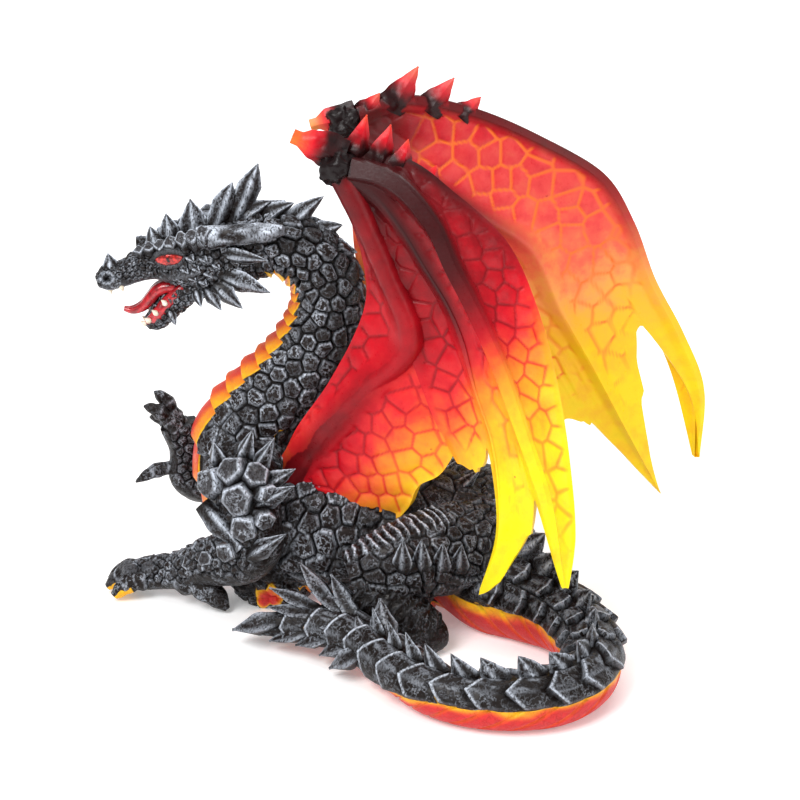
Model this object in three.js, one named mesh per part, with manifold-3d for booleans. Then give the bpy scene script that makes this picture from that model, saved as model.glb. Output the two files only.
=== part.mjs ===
// Dragon figurine in hand-painted cast resin: crouched, neck in an S, wings raised, tail curled in front.
// Millimetres, +Z up. The dragon faces -X with its left side towards -Y, and it stands on z = 0.

import * as THREE from "three";
import { mergeVertices } from "three/addons/utils/BufferGeometryUtils.js";
import Module from "manifold-3d";

const wasm = await Module();
wasm.setup();

// Driving dimensions
const GLUE_GAP = 0.3; // between each wing root and the body it is glued to
const WEB = 2.6; // thickness of the wing skin near the arm
const WEB_EDGE = 1.3; // thickness of the wing skin at its trailing edge
const WRIST = 6; // radius of the knob at each wing wrist
const SCALE_RELIEF = 0.9; // how far the neck and trunk scales stand out
const SCUTE_RELIEF = 0.9; // step of the belly scutes
const TURN = THREE.MathUtils.degToRad(12); // heading of the trunk, turned away from the viewer
const HEAD_PITCH = THREE.MathUtils.degToRad(14); // nose down
const BACK_SPIKES = 7; // spikes along the back, between the wings
const TAIL_PLATES = 18; // plates along each side of the tail
const TAIL_SPIKE = 4.5; // height of the spikes along the top of the tail
const BLADE_KEEL = 0.63; // thickness of a tail blade as a share of its width

// Trunk and neck from rump to skull: x, y, z, half width, half height
const SPINE = [
  [36, -12, 13, 9, 10],
  [22, -5, 20, 18, 18],
  [3, 0, 22, 21, 22.5],
  [-15, 3, 22.5, 20.5, 22.5],
  [-32, 6.5, 27, 20, 20.5],
  [-44.5, 9.5, 38, 17, 17],
  [-48, 10, 50, 14, 14],
  [-40, 9, 62, 12.5, 13],
  [-29, 7, 75, 11.5, 12],
  [-21.5, 6, 90, 11, 11],
  [-21.5, 5, 103, 10.5, 9.8],
  [-27, 4.5, 111, 10, 9.8],
  [-35, 4, 114.5, 9.5, 9],
  [-44, 3.5, 115, 9, 9],
];

// Tail from the rump round to the front: x, y, z, radius
const TAIL = [
  [20, -6, 19, 18],
  [29, -17, 13, 15.5],
  [38.5, -25, 11, 12.6],
  [49, -36.5, 10, 10.2],
  [55.2, -53, 9, 9.2],
  [53, -70, 8.5, 8.6],
  [44, -79.8, 8, 8.4],
  [31.5, -83.5, 8, 8],
  [19.7, -81.3, 7.5, 7.6],
  [8.5, -74, 7.5, 7.5],
  [-1.4, -61, 8, 7],
  [-10.2, -47, 9, 6.5],
  [-20.7, -37.5, 9, 6],
  [-32.7, -33.5, 8, 4.5],
  [-44, -33.5, 6, 1],
];

// Blades fanned round the tail end: base, tip, width
const TAIL_BLADES = [
  [[-35, -33.5, 9.6], [-49.8, -32.5, 5.4], 11.3],
  [[-26, -38, 8.4], [-38.7, -37, 4], 9.5],
  [[-20, -42, 8.4], [-30.8, -41, 4.6], 9.2],
  [[-14.4, -47, 8.6], [-23.7, -45.5, 3.6], 9.5],
  [[-11, -54, 9], [-20.6, -53, 3.2], 10.3],
  [[-24, -35, 12], [-38.8, -29, 17.6], 7.3],
  [[-24, -36, 11], [-39.2, -32.5, 13], 7.8],
  [[-12, -43, 12], [-29.1, -38, 10.8], 9.2],
  [[-19, -37, 12], [-29.8, -29, 26], 7.8],
  [[-12, -42, 12], [-26.2, -33, 18.2], 8.4],
  [[-12, -43, 12], [-20.4, -31, 23], 7.6],
  [[-4, -55, 9], [-5.8, -46, 22.4], 8.6],
  [[-8.6, -52, 9], [-12.6, -47, 17], 7.6],
  [[-8, -53, 9.6], [-16.2, -49, 9.6], 7.6],
];

// Breast low between the forelegs: centre, then half sizes
const BREAST = [[-39, 1, 12], [15, 13, 15]];

// Limbs: x, y, z, radius
const LEFT_ARM = [
  [-43, 2, 44, 12],
  [-46, -6, 43, 12],
  [-45, -12, 34, 10],
  [-43, -14, 25, 8.2],
  [-47, -12, 20, 8.6],
  [-57, -7, 16, 7.8],
  [-65, -2, 11, 6.4],
  [-72, 2, 8, 5.8],
  [-81, 5, 5.4, 5],
];
const LEFT_TOES = [
  [[-76, 7, 6.4], [-90, 9.5, 2]],
  [[-76, 4, 6.6], [-90.5, 4, 2]],
  [[-76, 1, 6.2], [-88, -2, 1.8]],
  [[-68, -2, 8], [-52.6, -10.5, 1.4]],
];
const RIGHT_ARM = [
  [-44, 16, 42, 10],
  [-52, 20, 38, 9],
  [-61, 23, 29.5, 7],
  [-66, 24, 31, 6],
  [-66.5, 25, 39.5, 5.4],
  [-69, 25, 48, 5.6],
];
const RIGHT_FINGERS = [
  [[-68, 25, 47], [-76, 24.5, 59]],
  [[-69, 22, 47], [-79, 21, 55.5]],
  [[-69, 27, 45], [-78, 28, 49]],
  [[-67, 24, 33], [-82.5, 23, 29]],
];
const LEFT_THIGH = [
  [26, -12, 25, 14],
  [14, -20, 26, 13.5],
  [2, -27, 26, 12],
  [-8, -31, 24.5, 9.6],
  [-15, -32, 22.5, 6.6],
];
const LEFT_SHIN = [
  [-11, -32, 21, 8],
  [-2, -34, 14, 8],
  [5.5, -34.5, 8.5, 7],
  [10, -33.5, 6.5, 5.6],
];
const LEFT_FOOT = [
  [12, -33, 5, 4.6],
  [7.5, -36, 5, 6],
  [0, -38, 4.5, 5.8],
  [-5, -39, 3.5, 4],
];

// Shoulder armour on the left: middle of the flat top, outward direction, size
const SHOULDER_ROCKS = [
  [[-58.5, -13, 44.7], [-0.8, -0.55, 0.25], 10.6],
  [[-48.6, -22.6, 42.8], [-0.15, -0.95, 0.3], 11],
  [[-51, -17.4, 51.4], [-0.35, -0.7, 0.6], 9.4],
  [[-42.4, -20, 51], [0.1, -0.8, 0.6], 8.8],
  [[-46.7, -24, 33.6], [-0.1, -1, 0], 9.2],
  [[-38, -22, 44.2], [0.5, -0.85, 0.2], 7.6],
  [[-52.8, -22, 25.4], [-0.5, -0.85, 0.1], 7.4],
  [[-59, -14.4, 20.4], [-0.4, -0.75, 0.55], 6.2],
  [[-39.8, -24, 36.6], [0.35, -0.95, 0], 7],
];
const SHOULDER_SPIKES = [
  [[-53, -6, 47], [-55.6, -9, 56]],
  [[-46.8, -10, 51], [-43.7, -12, 61.4]],
  [[-42.6, -12, 48], [-37.2, -15, 60]],
  [[-41.6, -17, 40], [-31, -24, 48.4]],
  [[-44.4, -19, 24.6], [-33.6, -27, 34.2]],
  [[-40, -13, 44], [-31, -15, 50]],
  [[-56, -12, 38], [-47, -21, 25]],
];

// Flat spikes behind the knee ridges
const KNEE_SPIKES = [
  [[0.6, -35, 25.6], [0.9, -43, 39.6]],
  [[6.4, -33, 25], [6.3, -41, 39]],
  [[12, -30.5, 23.5], [12.6, -39, 37]],
  [[17.4, -28, 22.5], [18, -36.4, 35]],
];

// Head, by distances forward, sideways and up from the back of the skull, then half width and half height
const SKULL_AT = new THREE.Vector3(-44.2, 3.5, 114.2);
const SKULL = [
  [-6, 0, 0, 9, 9.5],
  [4, 0, -1, 10, 9.5],
  [13, 0, -0.5, 10, 9],
  [21, 0, 0.5, 8.5, 7.5],
  [28, 0, 2.2, 6.6, 5.6],
  [33, 0, 1.7, 5.4, 4.3],
  [39, 0, 0.4, 4.6, 3.5],
  [44, 0, 0.2, 4.2, 3.4],
  [46.8, 0, 0, 2.2, 1.8],
];
const JAW = [
  [14, 0, -7, 7, 4.5],
  [22, 0, -9.4, 5.6, 4],
  [28, 0, -12.6, 5.2, 3.8],
  [32.6, 0, -15.6, 4.8, 3.4],
  [35.8, 0, -17, 3, 2],
];
const TONGUE = [
  [20, 0, -9, 3.6, 2.6],
  [26.8, 0, -6.6, 3.4, 2.4],
  [33, 0, -8.9, 3, 2],
  [39.2, 0, -11.4, 2, 1.3],
  [41.6, 0, -10.4, 1, 0.8],
];
// Spikes on the middle of the head: base, tip, width
const HEAD_CREST = [
  [[41.8, 0, 1.4], [41.5, 0, 7.4], 5.4],
  [[26.8, 0, 5.5], [27.2, 0, 12.4], 6.4],
  [[22.2, 0, 5.5], [21.5, 0, 15.1], 8],
  [[14.8, 0, 5.5], [13.4, 0, 17.6], 10],
  [[10, 0, 5], [0.1, 0, 19.6], 9],
  [[3.5, 0, 6], [-8.7, 0, 23.3], 9],
];
// Spikes on each side of the head: base, tip, width
const HEAD_SIDE = [
  [[8, 8, 1.8], [-5.4, 13, -2], 6],
  [[9.5, 8, -4.4], [-3.6, 13, -11.8], 8],
  [[12, 7.5, -7], [5.6, 12.5, -14.8], 7],
  [[15, 6.5, -7.6], [12, 11, -14.4], 5.8],
  [[18.4, 5.5, -8], [17.8, 9, -12.6], 4],
  [[28, 3.5, -12.5], [27, 6.5, -17.2], 4],
  [[31.5, 4, 6.5], [10, 9.5, 7.5], 4.6],
];
// Log-shaped horn above each cheek, in the same distances with its radius
const LOG_HORN = [
  [13, 8, 7.6, 3.5],
  [0.5, 9.8, 6.5, 3.1],
  [-12, 11.5, 5.4, 1.5],
];
const EYE = [[22.6, 7.6, 3.6], 2.3];
// Teeth on each side: root, point
const TEETH = [
  [[34, 3.4, -15.4], [35.2, 3.8, -12.8]],
  [[31.4, 4.2, -13.6], [32.4, 4.6, -10.8]],
  [[43.2, 2.6, -2], [43.4, 2.6, -5.6]],
];

// Spikes down the back of the neck: base, tip
const NECK_CREST = [
  [[-47, 3.5, 121.5], [-37.5, 4, 127.5]],
  [[-40.5, 4, 121.5], [-31, 4, 126.8]],
  [[-32.5, 4, 120], [-22.3, 4, 128.8]],
  [[-26, 4.5, 116.5], [-16.8, 4.5, 119.8]],
  [[-20.5, 4.5, 112], [-12.6, 4.5, 111.2]],
  [[-16.5, 5, 106], [-10.4, 5, 102.2]],
  [[-14, 5, 100], [-9.8, 5, 95.4]],
];

// Wing lines from the wrist outwards: x, y, z, half thickness of the rib that runs along the line
// A notch: how far the skin is cut back between two fingers, where it is deepest, how its far side bows
const LEFT_WING = {
  arm: [
    [-17.5, -14, 143, 3.6],
    [-11, -16, 129.5, 3.2],
    [-4, -18, 113.5, 3],
    [3, -20, 92, 3.6],
    [-9, -16, 77, 3.2],
    [-21.5, -10, 61, 3.6],
    [-33, -1, 42, 5],
  ],
  front: [
    [-18.5, -12, 143.5, 1.2],
    [-13.8, -11, 128.5, 1],
    [-9.8, -11, 115, 1],
    [-9, -11.5, 103.5, 1],
    [-12.5, -11.5, 92, 1],
    [-21, -10, 75, 1],
    [-31, -6, 59, 1.2],
    [-35, 1, 46, 1.4],
  ],
  fingers: [
    [
      [-14.5, -10, 144, 2.2],
      [1.5, -12, 143.5, 1.8],
      [14.5, -16, 135.5, 1.5],
      [30, -20, 122, 1.4],
      [38.5, -26, 104.5, 1.3],
      [44.5, -33, 82.5, 1.3],
      [48, -42, 61.5, 1.2],
      [49.5, -50, 43, 0.9],
      [47.8, -56, 30.5, 0.6],
    ],
    [
      [-17.5, -15, 144, 3.2],
      [-2.5, -20, 141, 2.6],
      [9, -27, 130.5, 2.4],
      [14.5, -31, 119.5, 2.3],
      [21, -36, 108, 2.4],
      [28.5, -42, 92, 2.4],
      [35, -47, 74.5, 2.4],
      [41.5, -52, 55, 2.4],
      [46.5, -56.5, 31, 0.8],
    ],
    [
      [-17, -14, 142.5, 3],
      [-7, -17, 137.5, 2.4],
      [1.5, -20, 127.5, 2.2],
      [8.5, -23, 116.5, 2.2],
      [15, -26, 106.5, 2.4],
      [19.5, -28, 97, 3],
      [23, -32, 83.5, 2.4],
      [28, -37, 68.5, 2.2],
      [30, -43, 52.5, 2.2],
      [29, -48, 40.5, 2],
      [23, -52, 26.5, 0.7],
    ],
    [
      [-17.5, -14, 143, 2],
      [-4, -18, 113.5, 2],
      [3, -20, 92, 2],
      [8.5, -22, 76.5, 1.4],
      [15, -24, 61, 0.9],
    ],
  ],
  notches: [
    [0.02, 0.5, 1],
    [0.14, 0.16, 1.5],
    [0.25, 0.2, 1.5],
  ],
  bodyEdge: [
    [15, -24, 61, 0.9],
    [12, -23.5, 52.2, 0.9],
    [6.2, -20.8, 47.6, 0.9],
    [3, -17.5, 39, 1],
    [-2, -14, 33.4, 1.2],
    [-15, -9, 33, 1.2],
    [-27, -4, 36, 1.2],
    [-33, 0, 38, 1.2],
  ],
  hooks: [
    [[-16, -13, 146], [-30.6, -13, 152.2], 7.5],
    [[-13.5, -11, 144], [-9.4, -10, 157.6], 6],
    [[-6.5, -12, 143], [-2.6, -11, 155], 6],
    [[-0.5, -13, 141.5], [2.4, -12, 151], 5.5],
    [[8, -14, 138], [10.5, -13, 143.5], 4.5],
  ],
};
const RIGHT_WING = {
  arm: [
    [-16.5, 20, 146.5, 3.6],
    [-11, 20, 130, 3.2],
    [-3, 18, 115, 3],
    [9, 18, 97, 3.4],
    [-4, 19, 79, 3.2],
    [-16, 19, 62, 3.6],
    [-27, 13, 42, 5],
  ],
  front: [
    [-17.5, 20, 146, 1.2],
    [-15, 19, 129, 1],
    [-14, 17, 111, 1],
    [-12.5, 16, 95.5, 1],
    [-15, 15, 79.5, 1],
    [-21, 14.5, 66, 1],
    [-27, 14, 54, 1.2],
    [-31, 10, 42, 1.4],
  ],
  fingers: [
    [
      [-17, 21, 146.5, 3],
      [0, 28, 149, 2.4],
      [20, 34, 143.5, 2.2],
      [40.5, 37, 134, 2],
      [56, 39, 120.5, 2],
      [66, 41, 105, 2],
      [74.5, 42, 86, 1.8],
      [85, 42.5, 62, 1.4],
      [93.3, 39.8, 31.5, 0.6],
    ],
    [
      [-16.5, 20, 147, 2.8],
      [0, 22.5, 152, 2],
      [21, 26, 147.5, 1.8],
      [42, 28, 138, 1.7],
      [60.5, 30, 126, 1.7],
      [69.5, 32, 111, 1.7],
      [76.5, 34, 92.5, 1.9],
      [86, 36, 74, 1.9],
      [93.5, 38, 55, 1.8],
      [94.3, 39, 31, 0.8],
    ],
    [
      [-15, 20, 145.5, 3],
      [0, 19, 133.5, 2.3],
      [12, 20, 125.5, 2.2],
      [25.5, 22, 116, 2.3],
      [39.5, 24, 105.5, 3],
      [49, 26, 85, 2.4],
      [59, 29, 66, 2.2],
      [70.5, 32, 43, 2],
      [82.5, 35, 20, 0.7],
    ],
    [
      [-16.5, 20, 146, 2],
      [-3, 18, 115, 2],
      [9, 18, 97, 2],
      [22, 18, 80, 1.4],
      [38, 19, 60, 0.9],
    ],
  ],
  notches: [
    [0.02, 0.5, 1],
    [0.26, 0.3, 0.9],
    [0.08, 0.3, 1.5],
  ],
  bodyEdge: [
    [38, 19, 60, 0.9],
    [28, 21, 52, 0.9],
    [17, 19, 42, 1],
    [8, 13, 33, 1.2],
    [-8, 12, 32, 1.2],
    [-20, 12, 35, 1.2],
    [-28, 12, 38, 1.2],
  ],
  hooks: [
    [[-13, 20, 149.5], [-26.5, 20, 145.5], 6],
    [[-3, 22, 150], [5.4, 22, 163], 7],
    [[8, 24, 149], [16, 24, 159], 6.5],
    [[18, 25.5, 146.5], [24, 26, 152.6], 5.5],
    [[-11, 21, 148], [-6, 20, 155.5], 5.5],
  ],
};

const UP = new THREE.Vector3(0, 0, 1);
const RIGHT = new THREE.Vector3(Math.sin(TURN), Math.cos(TURN), 0);
const vec = (row) => new THREE.Vector3(row[0], row[1], row[2]);

// Mirror image of a point across the upright middle plane of the trunk
function across(row) {
  const p = vec(row);
  const offset = p.dot(RIGHT);
  return p.addScaledVector(RIGHT, -2 * offset).toArray();
}

const acrossRows = (rows) => rows.map((row) => [...across(row), ...row.slice(3)]);

// Head distances to the shared frame
function headPoint([f, s, u]) {
  const c = Math.cos(HEAD_PITCH);
  const d = Math.sin(HEAD_PITCH);
  return [SKULL_AT.x - f * c - u * d, SKULL_AT.y + s, SKULL_AT.z - f * d + u * c];
}

const headRows = (rows) => rows.map((row) => [...headPoint(row), ...row.slice(3)]);
const otherCheek = ([f, s, u]) => [f, -s, u];

// Welded solid from a closed geometry
function solid(geometry) {
  const bare = geometry.clone();
  bare.deleteAttribute("normal");
  bare.deleteAttribute("uv");
  const welded = mergeVertices(bare, 1e-4);
  return new wasm.Manifold(new wasm.Mesh({
    numProp: 3,
    vertProperties: new Float32Array(welded.attributes.position.array),
    triVerts: new Uint32Array(welded.index.array),
  }));
}

// Closed skin over equal rings of points; flat rings are closed by rungs, round ones by a fan
function skin(rings, flat = false) {
  const n = rings[0].length;
  const points = rings.flat();
  const faces = [];
  for (let i = 0; i + 1 < rings.length; i += 1) {
    for (let j = 0; j < n; j += 1) {
      const a = i * n + j;
      const b = i * n + ((j + 1) % n);
      faces.push(a, b, a + n, b, b + n, a + n);
    }
  }
  const last = (rings.length - 1) * n;
  if (flat) {
    for (let j = 0; j + 1 < n / 2; j += 1) {
      const k = n - 1 - j;
      faces.push(j, k, j + 1, j + 1, k, k - 1);
      faces.push(last + j, last + j + 1, last + k, last + j + 1, last + k - 1, last + k);
    }
  } else {
    const first = points.length;
    for (const ring of [rings[0], rings[rings.length - 1]]) {
      points.push(ring.reduce((sum, p) => sum.add(p), new THREE.Vector3()).divideScalar(n));
    }
    for (let j = 0; j < n; j += 1) {
      const k = (j + 1) % n;
      faces.push(first, k, j, first + 1, last + j, last + k);
    }
  }
  const geometry = new THREE.BufferGeometry().setFromPoints(points);
  geometry.setIndex(faces);
  const made = solid(geometry);
  if (made.volume() > 0) {
    return made;
  }
  geometry.setIndex(faces.reverse());
  return solid(geometry);
}

const curveOf = (rows) => new THREE.CatmullRomCurve3(rows.map(vec), false, "centripetal");

// Value of one column of a list of rows at a place between 0 and 1 along it
function column(rows, index, t) {
  const at = t * (rows.length - 1);
  const k = Math.min(Math.floor(at), rows.length - 2);
  const from = rows[k][index] ?? rows[k][3];
  const to = rows[k + 1][index] ?? rows[k + 1][3];
  return THREE.MathUtils.lerp(from, to, at - k);
}

// Place, heading and cross axes at t along a list of rows; without a sideways hint the top faces up
function station(rows, t, sideways) {
  const curve = curveOf(rows);
  const along = curve.getTangent(t);
  const up = sideways ? new THREE.Vector3().crossVectors(sideways, along) : UP.clone().projectOnPlane(along);
  up.normalize();
  const side = new THREE.Vector3().crossVectors(along, up);
  return { at: curve.getPoint(t), along, up, side, w: column(rows, 3, t), h: column(rows, 4, t) };
}

// Point on the skin of a tube, an angle round from its top
function onSkin(s, angle, lift = 0) {
  const p = s.at.clone().addScaledVector(s.side, (s.w + lift) * Math.sin(angle));
  return p.addScaledVector(s.up, (s.h + lift) * Math.cos(angle));
}

// Tube through rows of centres and radii, with an optional relief over ring, side and angle
function tube(rows, rings, sides, sideways, grow = 0, relief = () => 0) {
  const loops = [];
  for (let i = 0; i <= rings; i += 1) {
    const s = station(rows, i / rings, sideways);
    const loop = [];
    for (let j = 0; j < sides; j += 1) {
      const angle = (2 * Math.PI * j) / sides;
      loop.push(onSkin(s, angle, grow + relief(i, j, angle, s.w)));
    }
    loops.push(loop);
  }
  return skin(loops);
}

// Turn a geometry made along +Y so that it runs from base to tip
function aim(geometry, base, tip, hint) {
  const along = vec(tip).sub(vec(base)).normalize();
  const wide = new THREE.Vector3().crossVectors(along, hint);
  if (wide.length() < 1e-3) {
    wide.set(1, 0, 0);
  }
  wide.normalize();
  const thick = new THREE.Vector3().crossVectors(wide, along);
  const turn = new THREE.Matrix4().makeBasis(wide, along, thick);
  turn.setPosition(vec(base));
  return solid(geometry.applyMatrix4(turn));
}

// Faceted spike: a cone with few sides, its foot on base
function spike(base, tip, width, thick, sides, grow = 0) {
  const length = vec(tip).distanceTo(vec(base)) + grow;
  const cone = new THREE.ConeGeometry(0.5, 1, sides);
  cone.translate(0, 0.5, 0);
  cone.scale(width + 2 * grow, length, thick + 2 * grow);
  return aim(cone, base, tip, UP);
}

// Keeled leaf: widest a third of the way from base to tip
function leaf(base, tip, width, thick, hint, grow = 0) {
  const length = vec(tip).distanceTo(vec(base)) + 2 * grow;
  const blank = new THREE.OctahedronGeometry(1);
  const place = blank.attributes.position;
  for (let i = 0; i < place.count; i += 1) {
    const y = place.getY(i);
    const rise = y > 0 ? 0.66 * y : 0.34 * y;
    const x = place.getX(i) * (width / 2 + grow);
    const z = place.getZ(i) * (thick / 2 + grow);
    place.setXYZ(i, x, (0.34 + rise) * length, z);
  }
  return aim(blank, base, tip, hint);
}

// Faceted armour rock: a five-sided block with a smaller flat top
function rock(top, outward, size, grow = 0) {
  const out = vec(outward).normalize();
  const height = 0.85 * size + grow;
  const block = new THREE.CylinderGeometry(0.36 * size + grow, 0.56 * size + grow, height, 5);
  block.translate(0, grow - height / 2, 0);
  const tip = vec(top).add(out).toArray();
  return aim(block, top, tip, UP);
}

const joined = (pieces) => pieces.reduce((sum, piece) => sum.add(piece));

// The one outer skin of a casting, without loose crumbs or closed hollows
function outerSkin(made) {
  const skins = made.decompose();
  skins.sort((p, q) => q.volume() - p.volume());
  return skins[0];
}

// Neck and trunk scales alternate in and out; the belly is stepped in broad scutes
function trunkRelief(i, j, angle) {
  if (Math.cos(angle) < -0.8) {
    return i % 2 ? SCUTE_RELIEF : -0.3;
  }
  return i % 2 === 0 && (j + i / 2) % 2 === 0 ? SCALE_RELIEF : -0.3;
}

// Every third ring of the tail steps up into a spike along the top, a plate on each flank and a belly fold
function tailRelief(i, j, angle, width) {
  const step = (i % 3) / 2;
  const size = width / 8.5;
  if (j === 0) {
    return (0.4 + TAIL_SPIKE * step * step) * size;
  }
  if (Math.abs(Math.sin(angle)) > 0.9) {
    return (2 * step - 0.6) * size;
  }
  return Math.cos(angle) < 0 ? 0.5 * step * size : -0.3 * size;
}

const ridgeRelief = (i) => (i % 2 ? 0.9 : -0.2);

function headPieces(grow) {
  const pieces = [
    tube(headRows(SKULL), 8, 8, new THREE.Vector3(0, 1, 0), grow),
    tube(headRows(JAW), 5, 6, new THREE.Vector3(0, 1, 0), grow),
    tube(headRows(TONGUE), 4, 5, new THREE.Vector3(0, 1, 0), grow),
  ];
  for (const [base, tip, width] of HEAD_CREST) {
    pieces.push(spike(headPoint(base), headPoint(tip), 0.7 * width, 1.1 * width, 4, grow));
  }
  for (const [base, tip, width] of HEAD_SIDE) {
    pieces.push(spike(headPoint(base), headPoint(tip), width, 0.8 * width, 4, grow));
    pieces.push(spike(headPoint(otherCheek(base)), headPoint(otherCheek(tip)), width, 0.8 * width, 4, grow));
  }
  for (const [root, point] of TEETH) {
    pieces.push(spike(headPoint(root), headPoint(point), 1.5, 1.5, 3, grow));
    pieces.push(spike(headPoint(otherCheek(root)), headPoint(otherCheek(point)), 1.5, 1.5, 3, grow));
  }
  const otherLog = LOG_HORN.map(([f, s, u, radius]) => [f, -s, u, radius]);
  for (const log of [LOG_HORN, otherLog]) {
    pieces.push(tube(headRows(log), 4, 6, UP, grow));
  }
  for (const centre of [EYE[0], otherCheek(EYE[0])]) {
    const ball = new THREE.IcosahedronGeometry(EYE[1] + grow);
    ball.translate(...headPoint(centre));
    pieces.push(solid(ball));
  }
  return pieces;
}

// Toes or fingers: a knuckled finger with a claw
function digits(rows, width, grow) {
  return rows.map(([base, tip]) => leaf(base, tip, width, 0.9 * width, UP, grow));
}

function breast(grow) {
  const [centre, half] = BREAST;
  const ball = new THREE.SphereGeometry(1, 8, 6);
  ball.scale(...half.map((size) => size + grow));
  ball.translate(...centre);
  return solid(ball);
}

function limbPieces(grow) {
  const pieces = [
    tube(LEFT_ARM, 10, 7, RIGHT, grow, (i, j) => ((i + j) % 2 ? 0.4 : -0.3)),
    tube(RIGHT_ARM, 7, 6, RIGHT, grow, (i, j) => ((i + j) % 2 ? 0.4 : -0.3)),
    breast(grow),
    ...digits(LEFT_TOES, 5, grow),
    ...digits(RIGHT_FINGERS, 4.4, grow),
  ];
  for (const side of [(rows) => rows, acrossRows]) {
    pieces.push(tube(side(LEFT_THIGH), 8, 8, UP, grow, ridgeRelief));
    pieces.push(tube(side(LEFT_SHIN), 3, 6, RIGHT, grow));
    pieces.push(tube(side(LEFT_FOOT), 3, 6, RIGHT, grow));
  }
  for (const [base, tip] of KNEE_SPIKES) {
    pieces.push(leaf(base, tip, 5.5, 2.4, RIGHT, grow));
  }
  for (const [top, outward, size] of SHOULDER_ROCKS) {
    pieces.push(rock(top, outward, size, grow));
  }
  for (const [base, tip] of SHOULDER_SPIKES) {
    pieces.push(spike(base, tip, 7, 6, 4, grow));
  }
  const [top, outward, size] = SHOULDER_ROCKS[0];
  pieces.push(rock(across(top), across(outward), size, grow));
  return pieces;
}

// Tail with its stepped plates, and the fan of blades at its end
function tailPieces(grow) {
  const pieces = [tube(TAIL, 3 * TAIL_PLATES, 8, null, grow, tailRelief)];
  for (const [base, tip, width] of TAIL_BLADES) {
    pieces.push(leaf(base, tip, width, BLADE_KEEL * width, UP, grow));
  }
  return pieces;
}

function crestPieces(grow) {
  const pieces = NECK_CREST.map(([base, tip]) => spike(base, tip, 7, 6.5, 4, grow));
  for (let k = 0; k < BACK_SPIKES; k += 1) {
    const s = station(SPINE, 0.6 - (0.5 * k) / (BACK_SPIKES - 1), RIGHT);
    const base = onSkin(s, 0, -2);
    const tip = onSkin(s, 0, 5.5).addScaledVector(s.along, -5);
    pieces.push(spike(base.toArray(), tip.toArray(), 7, 5.5, 4, grow));
  }
  return pieces;
}

function makeBody(grow) {
  const trunk = tube(SPINE, 46, 14, RIGHT, grow, trunkRelief);
  const limbs = [...limbPieces(grow), ...tailPieces(grow)];
  const whole = joined([trunk, ...headPieces(grow), ...limbs, ...crestPieces(grow)]);
  const floor = new THREE.BoxGeometry(400, 400, 60);
  floor.translate(0, 0, -30);
  return outerSkin(whole.subtract(solid(floor)));
}

// Thin sheet: a net of middle points and the half thickness at each, closed all round
function sheet(net, halves) {
  const rows = net.length - 1;
  const last = net[0].length - 1;
  const rings = net.map((line, i) => {
    const front = [];
    const back = [];
    line.forEach((p, c) => {
      const along = net[Math.min(i + 1, rows)][c].clone().sub(net[Math.max(i - 1, 0)][c]);
      const over = line[Math.min(c + 1, last)].clone().sub(line[Math.max(c - 1, 0)]);
      const normal = along.cross(over).normalize();
      front.push(p.clone().addScaledVector(normal, halves[i][c]));
      back.push(p.clone().addScaledVector(normal, -halves[i][c]));
    });
    return [...front, ...back.reverse()];
  });
  return skin(rings, true);
}

// Skin stretched over several lines, thick along each line and thin between, with a notched far edge
function webs(lines, notches, places, rows) {
  const curves = lines.map(curveOf);
  const net = [];
  const halves = [];
  for (let i = 0; i <= rows; i += 1) {
    const reach = 0.03 + (0.97 * i) / rows;
    const thin = THREE.MathUtils.lerp(WEB, WEB_EDGE, reach) / 2;
    const line = [];
    const half = [];
    lines.forEach((rib, k) => {
      const inner = k + 1 < lines.length ? places : [0];
      for (const s of inner) {
        const [depth, at, bow] = notches[k] ?? [0, 0.5, 1];
        const cut = depth * Math.min(s / at, ((1 - s) / (1 - at)) ** bow);
        const t = reach * (1 - cut);
        const start = curves[k].getPoint(t);
        line.push(s > 0 ? start.lerp(curves[k + 1].getPoint(t), s) : start);
        half.push(s > 0 ? thin : column(rib, 3, t));
      }
    });
    net.push(line);
    halves.push(half);
  }
  return sheet(net, halves);
}

// Wing: finger skin, arm with the skin in front of it, inner skin down to the back, and hooks at the wrist
function makeWing(lines, mould) {
  const humerus = lines.arm.slice(3);
  const pieces = [
    webs(lines.fingers, lines.notches, [0, 0.16, 0.5, 0.84], 11),
    webs([lines.arm, lines.front], [], [0, 0.4], 10),
    webs([humerus, lines.bodyEdge], [], [0, 0.25], 6),
  ];
  const knob = new THREE.OctahedronGeometry(WRIST);
  knob.translate(...lines.arm[0].slice(0, 3));
  pieces.push(solid(knob));
  for (const [base, tip, width] of lines.hooks) {
    pieces.push(spike(base, tip, 0.7 * width, 1.2 * width, 4));
  }
  return outerSkin(joined(pieces).subtract(mould));
}

function meshOf(name, made, color) {
  const raw = made.getMesh();
  const geometry = new THREE.BufferGeometry();
  geometry.setAttribute("position", new THREE.BufferAttribute(new Float32Array(raw.vertProperties), 3));
  geometry.setIndex(new THREE.BufferAttribute(new Uint32Array(raw.triVerts), 1));
  geometry.computeVertexNormals();
  const paint = new THREE.MeshStandardMaterial({ color, roughness: 0.5, metalness: 0 });
  const mesh = new THREE.Mesh(geometry, paint);
  mesh.name = name;
  return mesh;
}

const mould = makeBody(GLUE_GAP);
const dragon = new THREE.Group();
dragon.name = "dragon_statue";
dragon.add(meshOf("body", makeBody(0), 0x2c2d31));
dragon.add(meshOf("left_wing", makeWing(LEFT_WING, mould), 0xd8432b));
dragon.add(meshOf("right_wing", makeWing(RIGHT_WING, mould), 0xd8432b));

// The middle of the footprint goes to the origin
const box = new THREE.Box3().setFromObject(dragon);
const middle = box.getCenter(new THREE.Vector3());
for (const mesh of dragon.children) {
  mesh.geometry.translate(-middle.x, -middle.y, -box.min.z);
}

export default dragon;
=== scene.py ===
"""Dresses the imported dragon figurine: carved skin, hand-painted finishes, studio light and camera.

Lengths are millimetres in the sculptor's frame, where the dragon faces -X, turns its left side to -Y and
stands on z = 0. When a piece is cast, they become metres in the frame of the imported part.
"""

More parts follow.
